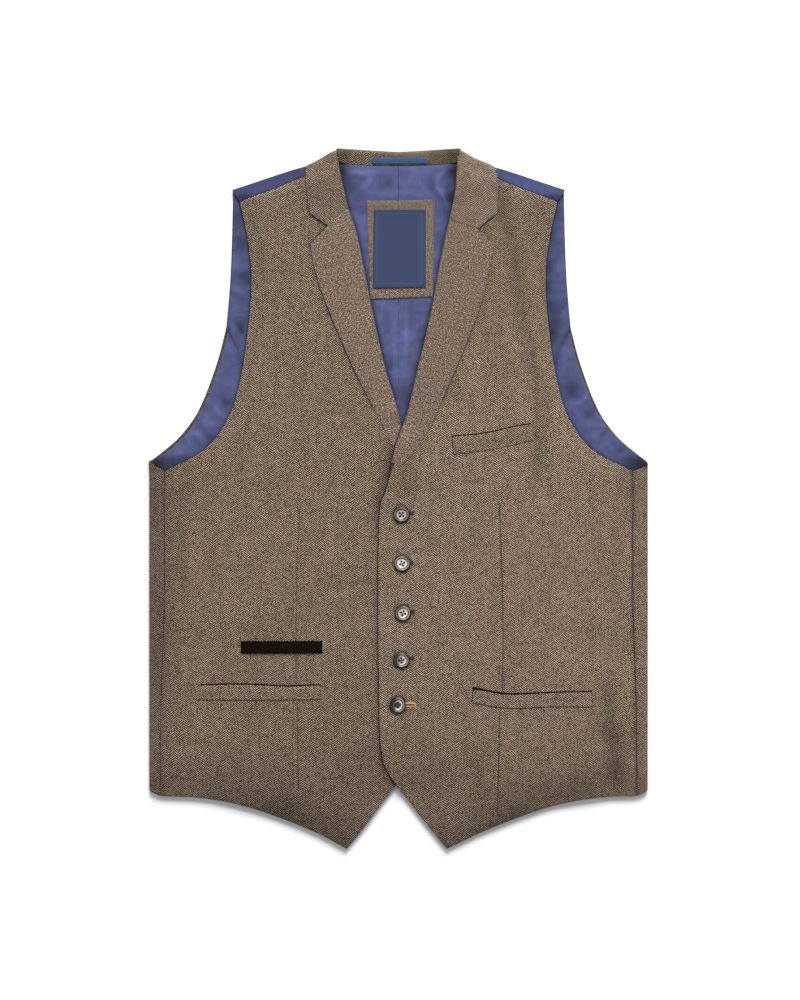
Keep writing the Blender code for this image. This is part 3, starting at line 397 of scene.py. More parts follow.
# A button's own painted shade: from where to where its left side and its middle darken, and what its holes
# keep, nearly black
BUTTON_LEFT_X, BUTTON_MIDDLE_R = (1, -4), (4.2, 2.4)
BUTTON_DISH_R, BUTTON_HOLE_PAINTED_SHADE = 4, 0.03
LAP_SHADES = ((0.75, 1.3), (0.2, 5))
LAP_TOP_SHADE, LAP_TOP_REACH, LAP_TOP_Y = 0.3, 9, (-50, 0)
RIM_SHADE = (0.6, 3)
SHOULDER_FOLD_SHADE = (0.25, 1.2)
SHOULDER_SEAM_SHADE = (0.4, 1)
ROLL_SHADE = (0.72, 2.4)
UNDERARM, UNDERARM_SHADE = (245, 33), (0.86, 9.5)
SIDE_CORNER = (246, 36.5)
LINING_EDGE_SHADES = ((0.7, 1.7), (0.16, 9))
LINING_SEAM_SHADE, LINING_STITCH_SHADE = (0.6, 0.9), (0.3, 0.8)
# How much painted shade in creases' troughs and painted light on their ridges for each millimetre of their
# height
CREASE_SHADE = 0.08
LINING_TROUGH_PAINTED_SHADE, LINING_RIDGE_PAINTED_LIGHT = 0.22, 0.15
# How far the painted shade of the sides reaches in from the fold, and where it ends at the underarm
SIDE_REACH, SIDE_TOP_Y = 52, (60, 20)
# Where the fronts' painted shade grows towards the shoulder, and where the hem's painted shade weakens
# towards the sides
SHOULDER_Y = (80, 260)
HEM_SIDES, HEM_SIDES_X = 0.6, (120, 235)
# The stand's painted light in its middle, the painted shade its ends take from here outwards, and its least
STAND_PAINTED_LIGHT, STAND_LEAST = 0.77, 0.42
STAND_ENDS, STAND_ENDS_X = 0.28, (38, 58)
STAND_LEFT, STAND_LEFT_X = 0.17, (24, 36)
# The painted shade that the lining takes at the top of its sides
LINING_TOP, LINING_TOP_X, LINING_TOP_Y = 0.13, (120, 150), (110, 200)
# Unevenness of what is light or wide: its share, the size of its lumps across and along, and a seed
# HEM_WAVES varies the painted shade at the hem
HEM_WAVES = (0.5, 42, 30, 11)
DYE_WAVES = (0.09, 22, 30, 7)
WARP_STREAKS = (0.1, 7, 90, 3)
SATIN_STREAKS = (0.3, 5, 16, 5)
MOUTH_WAVES = (0.35, 9, 9, 4)


# Curves in the plane

def smooth(points, step=EDGE):
    """Points about a step apart on a smooth curve through the given ones, however unlike their gaps are."""
    if len(points) == 2:
        points = [points[0], tuple((np.array(points[0]) + points[1]) / 2), points[1]]
    given = np.array(points, float)
    path = np.vstack([2 * given[0] - given[1], given, 2 * given[-1] - given[-2]])
    knots = np.concatenate([[0], np.cumsum(np.linalg.norm(np.diff(path, axis=0), axis=1) ** 0.5)])
    curve = []
    for i in range(1, len(path) - 2):
        count = max(1, round(float(np.linalg.norm(path[i + 1] - path[i])) / step))
        for t in np.linspace(knots[i], knots[i + 1], count, endpoint=False):
            curve.append(blend_of_four(path[i - 1:i + 3], knots[i - 1:i + 3], t))
    return np.array(curve + [given[-1]])


def blend_of_four(points, knots, t):
    """The point at knot t of the curve that runs from the second of four points to the third."""
    level = list(points)
    for width in (1, 2):
        level = [
            mix(level[i], level[i + 1], (t - knots[i]) / (knots[i + width] - knots[i]))
            for i in range(len(level) - 1)
        ]
    return mix(level[0], level[1], (t - knots[1]) / (knots[2] - knots[1]))


def mix(a, b, share):
    return a * (1 - share) + b * share


def coarse(*paths):
    return [smooth(path, COARSE) for path in paths]


def mirrored(path):
    return [(-x, y) for x, y in path]


def even_points(curve, count):
    """The curve again, as this many points evenly spread along it."""
    curve = np.array(curve, float)
    runs = np.concatenate([[0], np.cumsum(np.linalg.norm(np.diff(curve, axis=0), axis=1))])
    places = np.linspace(0, runs[-1], count)
    return np.column_stack([np.interp(places, runs, curve[:, axis]) for axis in (0, 1)])


def cut(*edges):
    """The closed outline of a panel from its edges in order, each moved in by a seam's room or by its own.

    An edge is a curve or a (curve, room) pair. A curve given as a list is smoothed first.
    """
    points = []
    rooms = []
    for edge in edges:
        curve, room = edge if isinstance(edge, tuple) else (edge, SEAM_ROOM)
        curve = smooth(curve) if isinstance(curve, list) else curve
        for point, moved in zip(curve, np.broadcast_to(room, len(curve))):
            if points and math.dist(point, points[-1]) < SAME_POINT:
                rooms[-1] = max(rooms[-1], moved)
                continue
            points.append(tuple(point))
            rooms.append(moved)
    if math.dist(points[0], points[-1]) < SAME_POINT:
        points.pop()
        rooms[0] = max(rooms[0], rooms.pop())
    outline = np.array(points)
    return outline - normals_of(outline) * np.array(rooms)[:, None]


def unit(ways):
    return ways / np.maximum(np.linalg.norm(ways, axis=1), 1e-9)[:, None]


def normals_of(outline):
    """The outward normal at each point of a closed outline, whichever way round it runs."""
    ahead = np.roll(outline, -1, axis=0)
    turned = 1 if np.sum(outline[:, 0] * ahead[:, 1] - ahead[:, 0] * outline[:, 1]) > 0 else -1
    steps = unit(ahead - outline)
    along = unit(steps + np.roll(steps, 1, axis=0))
    return np.column_stack([along[:, 1], -along[:, 0]]) * turned


def curve_normals(curve):
    """The normals of an open curve, to the right of the way that it runs."""
    along = unit(np.gradient(curve, axis=0))
    return np.column_stack([along[:, 1], -along[:, 0]])


def beside(path, step, offsets):
    """Lines at these offsets to the right of a curve."""
    line = smooth(path, step)
    return [line + curve_normals(line) * offset for offset in offsets]


def inside(points, outline):
    """Which of the points lie inside the closed outline."""
    found = np.zeros(len(points), bool)
    for (x0, y0), (x1, y1) in zip(outline, np.roll(outline, -1, axis=0)):
        if y0 != y1:
            crosses = (points[:, 1] < y0) != (points[:, 1] < y1)
            found ^= crosses & (points[:, 0] < x0 + (points[:, 1] - y0) * (x1 - x0) / (y1 - y0))
    return found


def nearest(points, others):
    """How far each point is from the nearest of the others."""
    tree = kdtree.KDTree(len(others))
    for i, (x, y) in enumerate(others):
        tree.insert((x, y, 0), i)
    tree.balance()
    return np.array([tree.find((x, y, 0))[2] for x, y in points])


def from_path(x, y, path):
    """How far each point is from a polyline, how far along it the nearest place lies, and its length."""
    far = np.full(np.shape(x), 1e9)
    along = np.zeros(np.shape(x))
    run = 0
    for (x0, y0), (x1, y1) in zip(path[:-1], path[1:]):
        length = math.dist((x0, y0), (x1, y1))
        share = np.clip(((x - x0) * (x1 - x0) + (y - y0) * (y1 - y0)) / length ** 2, 0, 1)
        gap = np.hypot(x - x0 - share * (x1 - x0), y - y0 - share * (y1 - y0))
        closer = gap < far
        far = np.where(closer, gap, far)
        along = np.where(closer, run + share * length, along)
        run += length
    return far, along, run


def gap_to(x, y, *paths):
    """How far each point is from the nearest of some polylines."""
    return np.min([from_path(x, y, path)[0] for path in paths], axis=0)


# Heights

def ease(low, high, value):
    """From 0 at the low value to 1 at the high one, smoothly."""
    share = np.clip((np.asarray(value, float) - low) / (high - low), 0, 1)
    return share * share * (3 - 2 * share)


def bell(far, reach):
    return np.exp(-((far / reach) ** 2))


def noises(x, y, across, along, seed):
    """Smooth noise from -1 to 1 at each place, its lumps of this size."""
    return np.array([noise.noise(Vector((a / across, b / along, seed))) for a, b in zip(x, y)])


def varied(x, y, share, *lumps_and_seed):
    return 1 + share * noises(x, y, *lumps_and_seed)


def lift(x, y):
    """How far the collar's fall, which lies under the back at the neck, raises the layers on it."""
    edge = np.array(COLLAR_BACK_EDGE)
    fall_edge = np.interp(np.abs(x), *edge.T)
    down = ease(*FALL_RAMP, fall_edge - np.asarray(y))
    beside_fall = ease(*FALL_SIDES, np.abs(x))
    return LAYER * (1 - down) * (1 - beside_fall)


def swelling(x, y, side):
    """How far the air and the seams inside a front push it up."""
    rise = np.zeros(np.shape(x))
    for whose, x0, y0, long, wide, degrees, high in SWELLINGS:
        if whose in ("both", side.name):
            turn = math.radians(degrees)
            along = (x - x0) * math.cos(turn) + (y - y0) * math.sin(turn)
            across = (y - y0) * math.cos(turn) - (x - x0) * math.sin(turn)
            rise = rise + high * np.exp(-((along / long) ** 2) - (across / wide) ** 2)
    return rise


def crease(x, y, wide, rise, path):
    """The height of one crease, which fades out towards its ends."""
    far, along, run = from_path(x, y, smooth(path, COARSE))
    grows = min(CREASE_GROWS[0], CREASE_GROWS[1] * run)
    ends = CREASE_END + (1 - CREASE_END) * ease(0, grows, np.minimum(along, run - along))
    return rise * ends * bell(far, wide)


def both_sides(*paths):
    return coarse(*paths, *(mirrored(path) for path in paths))


# Lines of the garment in true x
ROLLS = coarse(LEFT.roll[3:], mirrored(RIGHT.roll[1:]))
FREE_EDGES = ROLLS + both_sides(FRONT_ARMHOLE, SHOULDER_FOLD, [(SIDE_FOLD_X, 27), (SIDE_FOLD_X, -297)])
SEAMS = both_sides(SIDE_SEAM, SHOULDER_SEAM)
HEMS = coarse(FRONT_HEM + LEFT.edge[:1], mirrored(FRONT_HEM + RIGHT.edge[:1]))
OVER_EDGE = smooth(LEFT.roll[3::-1] + LEFT.edge[-2::-1], 4)


def cushion(x, y):
    """How far the cloth stands off its edges and seams, in true x."""
    edge = gap_to(x, y, *FREE_EDGES)
    hem = gap_to(x, y, *HEMS, np.array(CUTAWAY))
    waves = sum(rise * noises(x, y, size, size, size) for size, rise in UNEVEN)
    puff = (1 - np.exp(-np.minimum(edge, hem) / PUFF_REACH)) * (PUFF + waves)
    puff += HEM_PUFF * ease(0, HEM_PUFF_REACH, hem) * ease(0, PUFF_EDGE, edge)
    return puff - SEAM_DIP * bell(gap_to(x, y, *SEAMS), SEAM_DIP_WIDE) * ease(0, SEAM_DIP_EDGE, edge)


def dimples(x, y):
    """How far the buttons pull the cloth down round them, in true x."""
    rounds = (np.hypot(x - bx, (y - by) * BUTTON_DIMPLE_FLAT) for bx, by in BUTTON_PLACES)
    return sum(BUTTON_DIMPLE * bell(far, BUTTON_DIMPLE_WIDE) for far in rounds)


def under_edge_x(y):
    """The x of the right front's hidden edge, which the left front laps over."""
    edge = np.array(RIGHT.edge + RIGHT.roll[1:])
    order = np.argsort(edge[:, 1])
    return -np.interp(y, edge[order, 1], edge[order, 0])


def front_z(x, y, side):
    """The middle surface of a front."""
    x = np.asarray(x, float)
    y = np.asarray(y, float)
    true_x = x * side.way
    height = FRONT_Z + lift(x, y) + swelling(x, y, side) + cushion(true_x, y) - dimples(true_x, y)
    folds = sum(crease(x, y, wide, rise, path) for wide, rise, _, path in side.creases) * CREASE_FOLDS
    for path in side.darts:
        far, along, _ = from_path(x, y, path)
        folds = folds - side.dart_deep * ease(0, DART_END, along) * bell(far, DART_WIDE)
    clear = x - under_edge_x(y) if side is LEFT else x + LAP_HIDDEN
    height = height + folds * ease(0, LAP_CALM, clear)
    if side is LEFT:
        height = height + LAYER * (1 - ease(*LAP_RAMP, clear))
    return np.maximum(height, FRONT_Z - 0.1 + lift(x, y))


def turned_z(x, y, side):
    """The middle surface of what is turned over onto a front: a lapel, thinning to its foot, or the fall."""
    low, high = (side.foot[0][1] + rise for rise in FOOT_RAMP)
    return front_z(x, y, side) + LAYER * (FOOT_SHARE + (1 - FOOT_SHARE) * ease(low, high, y))


def back_z(x, y, side=None):
    return BACK_Z + lift(x, y)


def lining_z(x, y, side):
    """The lining's middle surface. It only puckers where no front lies on it."""
    x = x * side.way
    height = LINING_Z + lift(x, y)
    rise = sum(crease(x, y, *row) for row in LINING_CREASES) * LINING_FOLDS + CRINKLE_RISE * crinkles(x, y)
    return np.maximum(height + rise * shown_lining(x, y), height - PUCKER_LOW)


def crinkles(x, y):
    """Thin curling ridges, 1 at their crests, where the light lining has been pressed together."""
    return bell(noises(x, y, *CRINKLES), CRINKLE_WIDE)


def shown_lining(x, y):
    """1 where the lining lies open, falling to 0 at the edges of the fronts and of what is sewn on it."""
    share = np.ones(len(x))
    for ring in COVERS:
        clear = ease(*PUCKER_RAMP, gap_to(x, y, ring))
        share = np.minimum(share, np.where(inside(np.column_stack([x, y]), ring), 0, clear))
    return share


def patch_z(x, y, side):
    return LINING_Z + lift(x, y) + LINING / 2 + GAP + LABEL / 2


def label_z(x, y, side):
    return patch_z(x, y, side) + LABEL + GAP


def tab_z(x, y, side):
    """The tab's middle surface, on the collar's stand that rises to its fold."""
    edge = np.array(NECK_SEAM)
    up = y - np.interp(np.abs(x), *edge.T)
    return FRONT_Z + STAND_RISE * np.clip(up / STAND_WIDE, 0, 1) + TWEED / 2 + GAP + LABEL / 2


# How light the cloth is from place to place

def shaded(far, *shades):
    """How much of the light is left at this distance from lines that take it by (share, reach)."""
    left = 1
    for share, reach in shades:
        left = left * (1 - share * bell(far, reach))
    return left


# Painted light and shade on a front: each side's painted lightness, painted shade towards the shoulder, the
# sides and the hem, at listed spots, in creases' troughs, along darts, at the edges laid on it, round and
# under the buttons and beside the lap's edge, a darker line along the side seam, and dye mottling and warp
# streaks
def front_painted_shade(x, y, side):
    true_x = x * side.way
    level = side.light * (1 - side.shoulder_shade * ease(*SHOULDER_Y, y))
    level *= 1 - side.side_shade * (1 - ease(2, SIDE_REACH, SIDE_FOLD_X - x)) * ease(*SIDE_TOP_Y, y)
    from_hem = gap_to(true_x, y, *HEMS)
    hem = sum(share * (1 - ease(0, reach, from_hem)) for share, reach in side.hem_shades)
    level *= 1 - hem * (1 - HEM_SIDES * ease(*HEM_SIDES_X, x)) * (varied(true_x, y, *HEM_WAVES) - 0.1)
    for x0, y0, reach, share in FRONT_PAINTED_SHADES:
        level *= shaded(np.hypot(true_x - x0, y - y0), (share, reach))
    for wide, rise, dark, path in side.creases:
        if rise < 0:
            level *= 1 + dark * CREASE_SHADE * crease(x, y, wide, rise, path)
    for path in side.darts:
        level *= shaded(gap_to(x, y, path), side.dart_shade)
    level *= shaded(gap_to(x, y, SIDE_SEAM), side.seam_shade)
    for path in (side.lapel[:-3], side.collar, [side.corner, side.notch]):
        level *= shaded(gap_to(x, y, path), side.edge_shade, side.edge_wide)
    level *= shaded(gap_to(x, y, [side.notch, side.lapel[0]]), side.notch_shade, side.edge_wide)
    for bx, by in BUTTON_PLACES:
        from_button = np.hypot(true_x - bx, y - by)
        level *= shaded(from_button - BUTTON_SHADE_R, BUTTON_SHADE)
        level *= 1 - UNDER_BUTTON_SHADE * ease(*UNDER_BUTTON, from_button)
    if side is RIGHT:
        lap = gap_to(true_x, y, OVER_EDGE)
        level *= shaded(lap, *LAP_SHADES, (LAP_TOP_SHADE * ease(*LAP_TOP_Y, y), LAP_TOP_REACH))
    return level * varied(true_x, y, *DYE_WAVES) * varied(true_x, y, *WARP_STREAKS)


def side_painted_shade(x, y, side):
    """Painted light and shade on the side-back panel: its side's painted lightness times the front's, and
    painted shade on its rim where it shows round the armhole and in the underarm corner.
    """
    level = side.panel_painted_light * front_painted_shade(x, y, side)
    level *= shaded(gap_to(x, y, smooth(SIDE_BACK_ARMHOLE)), RIM_SHADE)
    corner = np.hypot(x - SIDE_CORNER[0], y - SIDE_CORNER[1])
    return level * shaded(corner, side.corner_shade)


# The collar's painted light: each side's collar is painted lighter or darker as a whole
def collar_painted_level(x, y, side):
    return np.full(len(x), side.collar_light)


def stand_painted_shade(x, y, side):
    """Painted shade on the stand: darker all over, and more towards its ends, where the rolled collar leans
    over it.
    """
    level = STAND_PAINTED_LIGHT - STAND_ENDS * ease(*STAND_ENDS_X, np.abs(x)) - STAND_LEFT * ease(*STAND_LEFT_X, x)
    return np.maximum(level, STAND_LEAST)


def back_painted_shade(x, y, side):
    """Painted light and shade on the satin: each side's painted lightness, painted shade along its fold at
    the shoulder, darker along its seam there, and streaks of lightness.
    """
    level = side.satin_light * shaded(gap_to(x, y, smooth(SHOULDER_FOLD)), SHOULDER_FOLD_SHADE)
    level *= shaded(gap_to(x, y, smooth(SHOULDER_SEAM)), SHOULDER_SEAM_SHADE)
    return level * varied(x, y, *SATIN_STREAKS)


def lining_painted_shade(x, y, side):
    """Painted shade on the lining: under the edges of the fronts and rolls, in the underarm, at the top of
    its sides, at listed spots with painted light at some, in creases' troughs with painted light on their
    ridges and on crinkles; and darker along its seam and stitches.
    """
    x = x * side.way
    level = np.ones(len(x))
    for ring in COVERS[:2]:
        level *= shaded(gap_to(x, y, ring), *LINING_EDGE_SHADES)
    for roll in ROLLS:
        level *= shaded(gap_to(x, y, roll), ROLL_SHADE)
    level *= shaded(np.hypot(np.abs(x) - UNDERARM[0], y - UNDERARM[1]), UNDERARM_SHADE)
    level *= 1 - LINING_TOP * ease(*LINING_TOP_X, np.abs(x)) * ease(*LINING_TOP_Y, y)
    seam = gap_to(np.abs(x), y, SIDE_BACK_SEAM[2:])
    level *= shaded(seam, LINING_SEAM_SHADE) * shaded(seam - 3, LINING_STITCH_SHADE)
    for x0, y0, reach, share in LINING_PAINTED_SHADES:
        level *= shaded(np.hypot(x - x0, (y - y0) * 0.8), (share, reach))
    for wide, rise, path in LINING_CREASES:
        change = LINING_TROUGH_PAINTED_SHADE if rise < 0 else LINING_RIDGE_PAINTED_LIGHT
        level *= 1 + change * crease(x, y, wide, rise, path) * LINING_FOLDS
    return level * (1 + CRINKLE_PAINTED_LIGHT * (crinkles(x, y) - 0.4))


# Cloth from outlines and sections

def lattice(outline, step, guides):
    """Points inside an outline: those on the guide lines first, then a staggered lattice clear of them."""
    low, high = outline.min(axis=0), outline.max(axis=0)
    spots = []
    for index, y in enumerate(np.arange(low[1], high[1], step * LATTICE_ROW)):
        spots.extend((x, y) for x in np.arange(low[0] + (index % 2) * step / 2, high[0], step))
    spots = np.array(spots)
    taken = outline
    kept = []
    for guide in guides:
        guide = guide[inside(guide, outline)]
        if len(guide):
            guide = guide[nearest(guide, taken) > GUIDE_ROOM]
            kept.append(guide)
            taken = np.vstack([taken, guide])
    spots = spots[inside(spots, outline)]
    spots = spots[nearest(spots, taken) > step * LATTICE_ROOM]
    return np.vstack([*kept, spots])


def raised(flat, height, side=None):
    """Plane points with their heights, which a number, numbers or a function of x, y and side gives."""
    if callable(height):
        height = height(*flat.T, side)
    return np.column_stack([flat, np.broadcast_to(height, len(flat))])


class Sheet:
    """A cloth's middle surface while it is drawn: its points, the places on the flat cut, and its faces."""

    def __init__(self, points, flat, faces=()):
        self.points = [tuple(point) for point in points]
        self.flat = [tuple(place) for place in flat]
        self.faces = list(faces)

    def add_strip(self, start, rows, away):
        """Adds quads from a run of points through rows of new ones, away from it on the flat cut."""
        last = list(start)
        away = np.broadcast_to(away, (len(last), 2))
        for row in rows:
            new = list(range(len(self.points), len(self.points) + len(row)))
            for i, point in enumerate(row):
                before = self.points[last[i]]
                along = np.array([-away[i][1], away[i][0]])
                aside = float(np.dot(np.array(point[:2]) - before[:2], along))
                ahead = math.sqrt(max(math.dist(point, before) ** 2 - aside ** 2, 0))
                self.points.append(tuple(point))
                self.flat.append(tuple(np.array(self.flat[last[i]]) + away[i] * ahead + along * aside))
            for i in range(len(new) - 1):
                self.faces.append((last[i], last[i + 1], new[i + 1], new[i]))
            last = new


def run_of(outline, curve):
    """The indices of the outline's points that lie on a curve, in the curve's order."""
    return [int(np.argmin(((outline - point) ** 2).sum(axis=1))) for point in curve]


def fold_rows(start, end, outward, start_z, end_z):
    """Rows that turn a wall over in a half circle, from start at one height to end at another."""
    radius = np.broadcast_to((end_z - start_z) / 2, len(start))
    rows = []
    for angle in np.linspace(0, math.pi, FOLD_STEPS + 1)[1:]:
        flat = mix(start, end, angle / math.pi) + outward * (np.abs(radius) * math.sin(angle))[:, None]
        rows.append(raised(flat, start_z + radius * (1 - math.cos(angle))))
    return rows


def ruled_rows(start, end, height, count, side=None):
    """Rows on straight lines from start to end, at their heights, after start itself."""
    return [raised(mix(start, end, share), height, side) for share in np.linspace(0, 1, count + 1)[1:]]


def rolled_edge(outline, curve, side, drop):
    """The strip that turns a lapel or collar down at its roll line, a little past a quarter circle."""
    run = run_of(outline, curve)
    outward = normals_of(outline)[run]
    outward[0], outward[-1] = outward[1], outward[-2]
    edge = outline[run]
    top = turned_z(*edge.T, side)
    rows = []
    for angle in np.linspace(0, math.pi / 2, ROLL_STEPS + 1)[1:]:
        flat = edge + outward * (drop * math.sin(angle))[:, None]
        rows.append(raised(flat, top - drop * (1 - math.cos(angle))))
    rows.append(rows[-1] - (0, 0, ROLL_LIP))
    return run, rows, outward


# Objects

def placed(name, data, finish=None):
    """An object in the scene, with its finish."""
    made = bpy.data.objects.new(name, data)
    bpy.context.scene.collection.objects.link(made)
    if finish:
        data.materials.append(finish)
    return made


def mesh_of(name, points, faces=(), edges=()):
    mesh = bpy.data.meshes.new(name)
    mesh.from_pydata([(x * MM, y * MM, z * MM) for x, y, z in points], edges, faces)
    return mesh


def cloth(node, side, sheet, wall, finish, slot, rests_on, grain=0, tone=None):
    """A wall of cloth round a middle surface, with rounded edges. The UV map is its place on the flat cut."""
    points = np.array(sheet.points)
    mesh = mesh_of(node + "_cloth", points * (side.way, 1, 1), sheet.faces)
    turned = bmesh.new()
    turned.from_mesh(mesh)
    bmesh.ops.recalc_face_normals(turned, faces=turned.faces)
    turned.to_mesh(mesh)
    turned.free()
    flat = np.array(sheet.flat) + (0, side.grain_shift)
    turn = math.radians(grain)
    across = flat[:, 0] * math.cos(turn) + flat[:, 1] * math.sin(turn)
    along = flat[:, 1] * math.cos(turn) - flat[:, 0] * math.sin(turn)
    corners = np.array([loop.vertex_index for loop in mesh.loops])
    uvs = mesh.uv_layers.new(name="cut")
    uvs.data.foreach_set("uv", np.column_stack([across, along])[corners].ravel())
    # The lightness attribute holds painted light and shade, and on the fronts also their dye mottling and
    # streaks
    levels = tone(*points[:, :2].T, side) if tone else np.ones(len(points))
    mesh.attributes.new("tone", "FLOAT", "POINT").data.foreach_set("value", levels)
    mesh.shade_smooth()
    made = placed(node + "_cloth", mesh, finish)
    thick = made.modifiers.new("wall", "SOLIDIFY")
    thick.thickness = wall * MM
    thick.offset = 0
    edge = made.modifiers.new("edge", "BEVEL")
    edge.width = wall * 0.42 * MM
    edge.segments = 2
    edge.limit_method = "ANGLE"
    edge.angle_limit = math.radians(60)
    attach(made, "root")
    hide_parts(node)


def panel(name, side, outline, step, height, wall, finish, slot, under, guides=(), strips=(), **more):
    """A cut panel laid at its height on what is under it, with strips that go on from runs of its edge."""
    spots = np.vstack([outline, lattice(outline, step, guides)])
    rim = list(range(len(outline)))
    found = geometry.delaunay_2d_cdt([Vector(spot) for spot in spots], [], [rim], 1, 1e-5)
    plane = np.array([tuple(point) for point in found[0]])
    sheet = Sheet(raised(plane, height, side), plane, [tuple(face) for face in found[2]])
    for strip in strips:
        sheet.add_strip(*strip)
    rests_on = [node if node == "floor" else f"{node}_{side.name}_cloth" for node in under]
    cloth(f"{name}_{side.name}", side, sheet, wall, finish, slot, rests_on, **more)


# The garment's pieces

def front_outline(side):
    roll = smooth(side.roll[:-1])
    room = ROLL_ROOM * ease(0, ROLL_FOOT, np.linalg.norm(roll - roll[0], axis=1))
    roll = roll + curve_normals(roll) * room[:, None]
    return cut(
        FRONT_ARMHOLE, (SIDE_SEAM, side.seam_room), FRONT_HEM + side.edge[:1], side.edge, roll,
        smooth(SHOULDER_SEAM)[::-1],
    )


def front(side):
    """A front from the shoulder seam to the hem. Its upper edge stops inside the rolled lapel and collar."""
    guides = []
    for path in side.darts:
        guides += beside(path, 2.4, DART_GUIDES)
    laid = [side.lapel, side.collar, [side.corner, side.notch]]
    if side is RIGHT:
        laid.append(mirrored(OVER_EDGE))
    for path in laid:
        guides += beside(path, EDGE, EDGE_GUIDES)
    panel(
        "front", side, front_outline(side), SHOWN, front_z, TWEED, FRONT_TWEED, "tweed",
        ["lining_back", "lining_side"], guides=guides, tone=front_painted_shade,
    )


def lapel(side):
    """The lapel, turned over at the roll line from its foot to the gorge."""
    roll = smooth(side.roll[:side.roll.index(side.gorge) + 1])
    inner = roll + curve_normals(roll) * ROLL_IN
    inner = inner[inner[:, 1] > side.foot[-1][1] + SAME_POINT]
    outline = cut(
        (inner, 0), (smooth([tuple(inner[-1]), side.notch])[1:], side.gorge_room),
        [side.notch, side.lapel[0]], side.lapel, np.array(side.foot),
    )
    panel(
        "lapel", side, outline, SHOWN, turned_z, TWEED, LAPEL_TWEED, "tweed", ["front"], grain=-20,
        strips=[rolled_edge(outline, inner, side, np.full(len(inner), LAYER))],
    )


def collar_side(side):
    """The collar's fall from the gorge up over the shoulder, and down behind it under the back."""
    silhouette = smooth(side.collar_top)
    outward = -curve_normals(silhouette)
    top_edge = silhouette - outward * COLLAR_SHOULDER_IN
    roll = smooth(side.roll[side.roll.index(side.gorge):])
    fade = ease(0, ROLL_FADE, NECK_POINT[1] - ROLL_END - roll[:, 1])
    inner = roll + curve_normals(roll) * mix(TWEED / 2, ROLL_IN, fade)[:, None]
    kept = inner[:, 1] < NECK_POINT[1] - COLLAR_SHOULDER_IN - 1.5
    inner = inner[kept]
    corner = inner[-1] + SAME_POINT
    top_edge = np.vstack([corner, top_edge[top_edge[:, 0] > corner[0] + SAME_POINT]])
    outline = cut(
        (inner, 0), (top_edge, 0), smooth(side.collar)[::-1][1:], [side.corner, side.notch],
        (smooth([side.notch, tuple(inner[0])])[:-1], side.gorge_room),
    )
    run = run_of(outline, top_edge)
    edge = outline[run]
    bulge = mix(UP, outward[0], ease(0, CORNER_LENGTH, edge[:, 0] - edge[0, 0])[:, None])
    under_edge = smooth(COLLAR_BACK_EDGE, 1)
    under_edge = even_points(under_edge[under_edge[:, 0] > COLLAR_SPLIT_X], len(edge)) - UP * 0.4
    under_edge[:, 0] = np.maximum(under_edge[:, 0], COLLAR_SPLIT_X + GAP)
    rows = fold_rows(edge, edge, bulge, turned_z(*edge.T, side), SIDE_BACK_Z)
    rows += ruled_rows(edge, under_edge, SIDE_BACK_Z, 8)
    panel(
        "collar", side, outline, SHOWN, turned_z, TWEED, COLLAR_TWEED, "tweed", ["front"], grain=8,
        strips=[rolled_edge(outline, inner, side, LAYER * fade[kept]), (run, rows, bulge)], tone=collar_painted_level,
    )


def collar_back():
    """The collar behind the neck, folded at the top edge: a fall under the back and a stand that faces up."""
    columns = np.linspace(-COLLAR_SPLIT_X, COLLAR_SPLIT_X, 61)
    lines = []
    for curve in (COLLAR_BACK_EDGE, COLLAR_TOP, NECK_SEAM):
        fine = smooth(curve)
        lines.append(np.column_stack([columns, np.interp(np.abs(columns), *fine.T)]))
    fall_edge, top, seam = lines
    high = FRONT_Z + STAND_RISE
    fold = top - UP * ((high - SIDE_BACK_Z) / 2 + TWEED / 2)
    rows = ruled_rows(fall_edge, fold, SIDE_BACK_Z, 12)
    rows += fold_rows(fold, fold, UP, SIDE_BACK_Z, high)
    stand = ruled_rows(fold, seam + UP * SEAM_ROOM, high, 8)
    for share, row in zip(np.linspace(0, 1, 9)[1:], stand):
        row[:, 2] = mix(high, FRONT_Z, share)
    rows += stand
    for index, row in enumerate(rows):
        row[:, 0] *= 1 + STAND_UNDER * ease(12, 18, index)
    sheet = Sheet(raised(fall_edge, SIDE_BACK_Z), fall_edge)
    sheet.add_strip(range(len(columns)), rows, UP)
    cloth("collar_back", LEFT, sheet, TWEED, FRONT_TWEED, "tweed", ["floor"], tone=stand_painted_shade)


def back(side):
    """A satin half of the back. It turns over the shoulder and is seamed to the front a little below."""
    shoulder = smooth(SHOULDER_FOLD)
    outward = -curve_normals(shoulder)
    edge = shoulder - outward * SHOULDER_FOLD_IN
    outline = cut(
        BACK_HEM, SIDE_BACK_SEAM, BACK_ARMHOLE[:-1] + [tuple(edge[-1])], (edge[::-1], 0),
        smooth(NECK_SEAM[:-1] + [tuple(edge[0])])[::-1][1:], [(0, NECK_SEAM[0][1]), (0, BACK_HEM[0][1])],
    )
    run = run_of(outline, edge)
    edge = outline[run]
    seam = even_points(smooth(SHOULDER_SEAM)[::-1], len(edge))
    seam = seam - curve_normals(seam) * SEAM_ROOM
    rows = fold_rows(edge, edge, outward, back_z(*edge.T), front_z(*edge.T, RIGHT))
    rows += ruled_rows(edge, seam, front_z, 8, RIGHT)
    panel(
        "back", side, outline, HIDDEN, back_z, SATIN, BACK_SATIN, "satin", ["floor"],
        strips=[(run, rows, outward)], tone=back_painted_shade,
    )


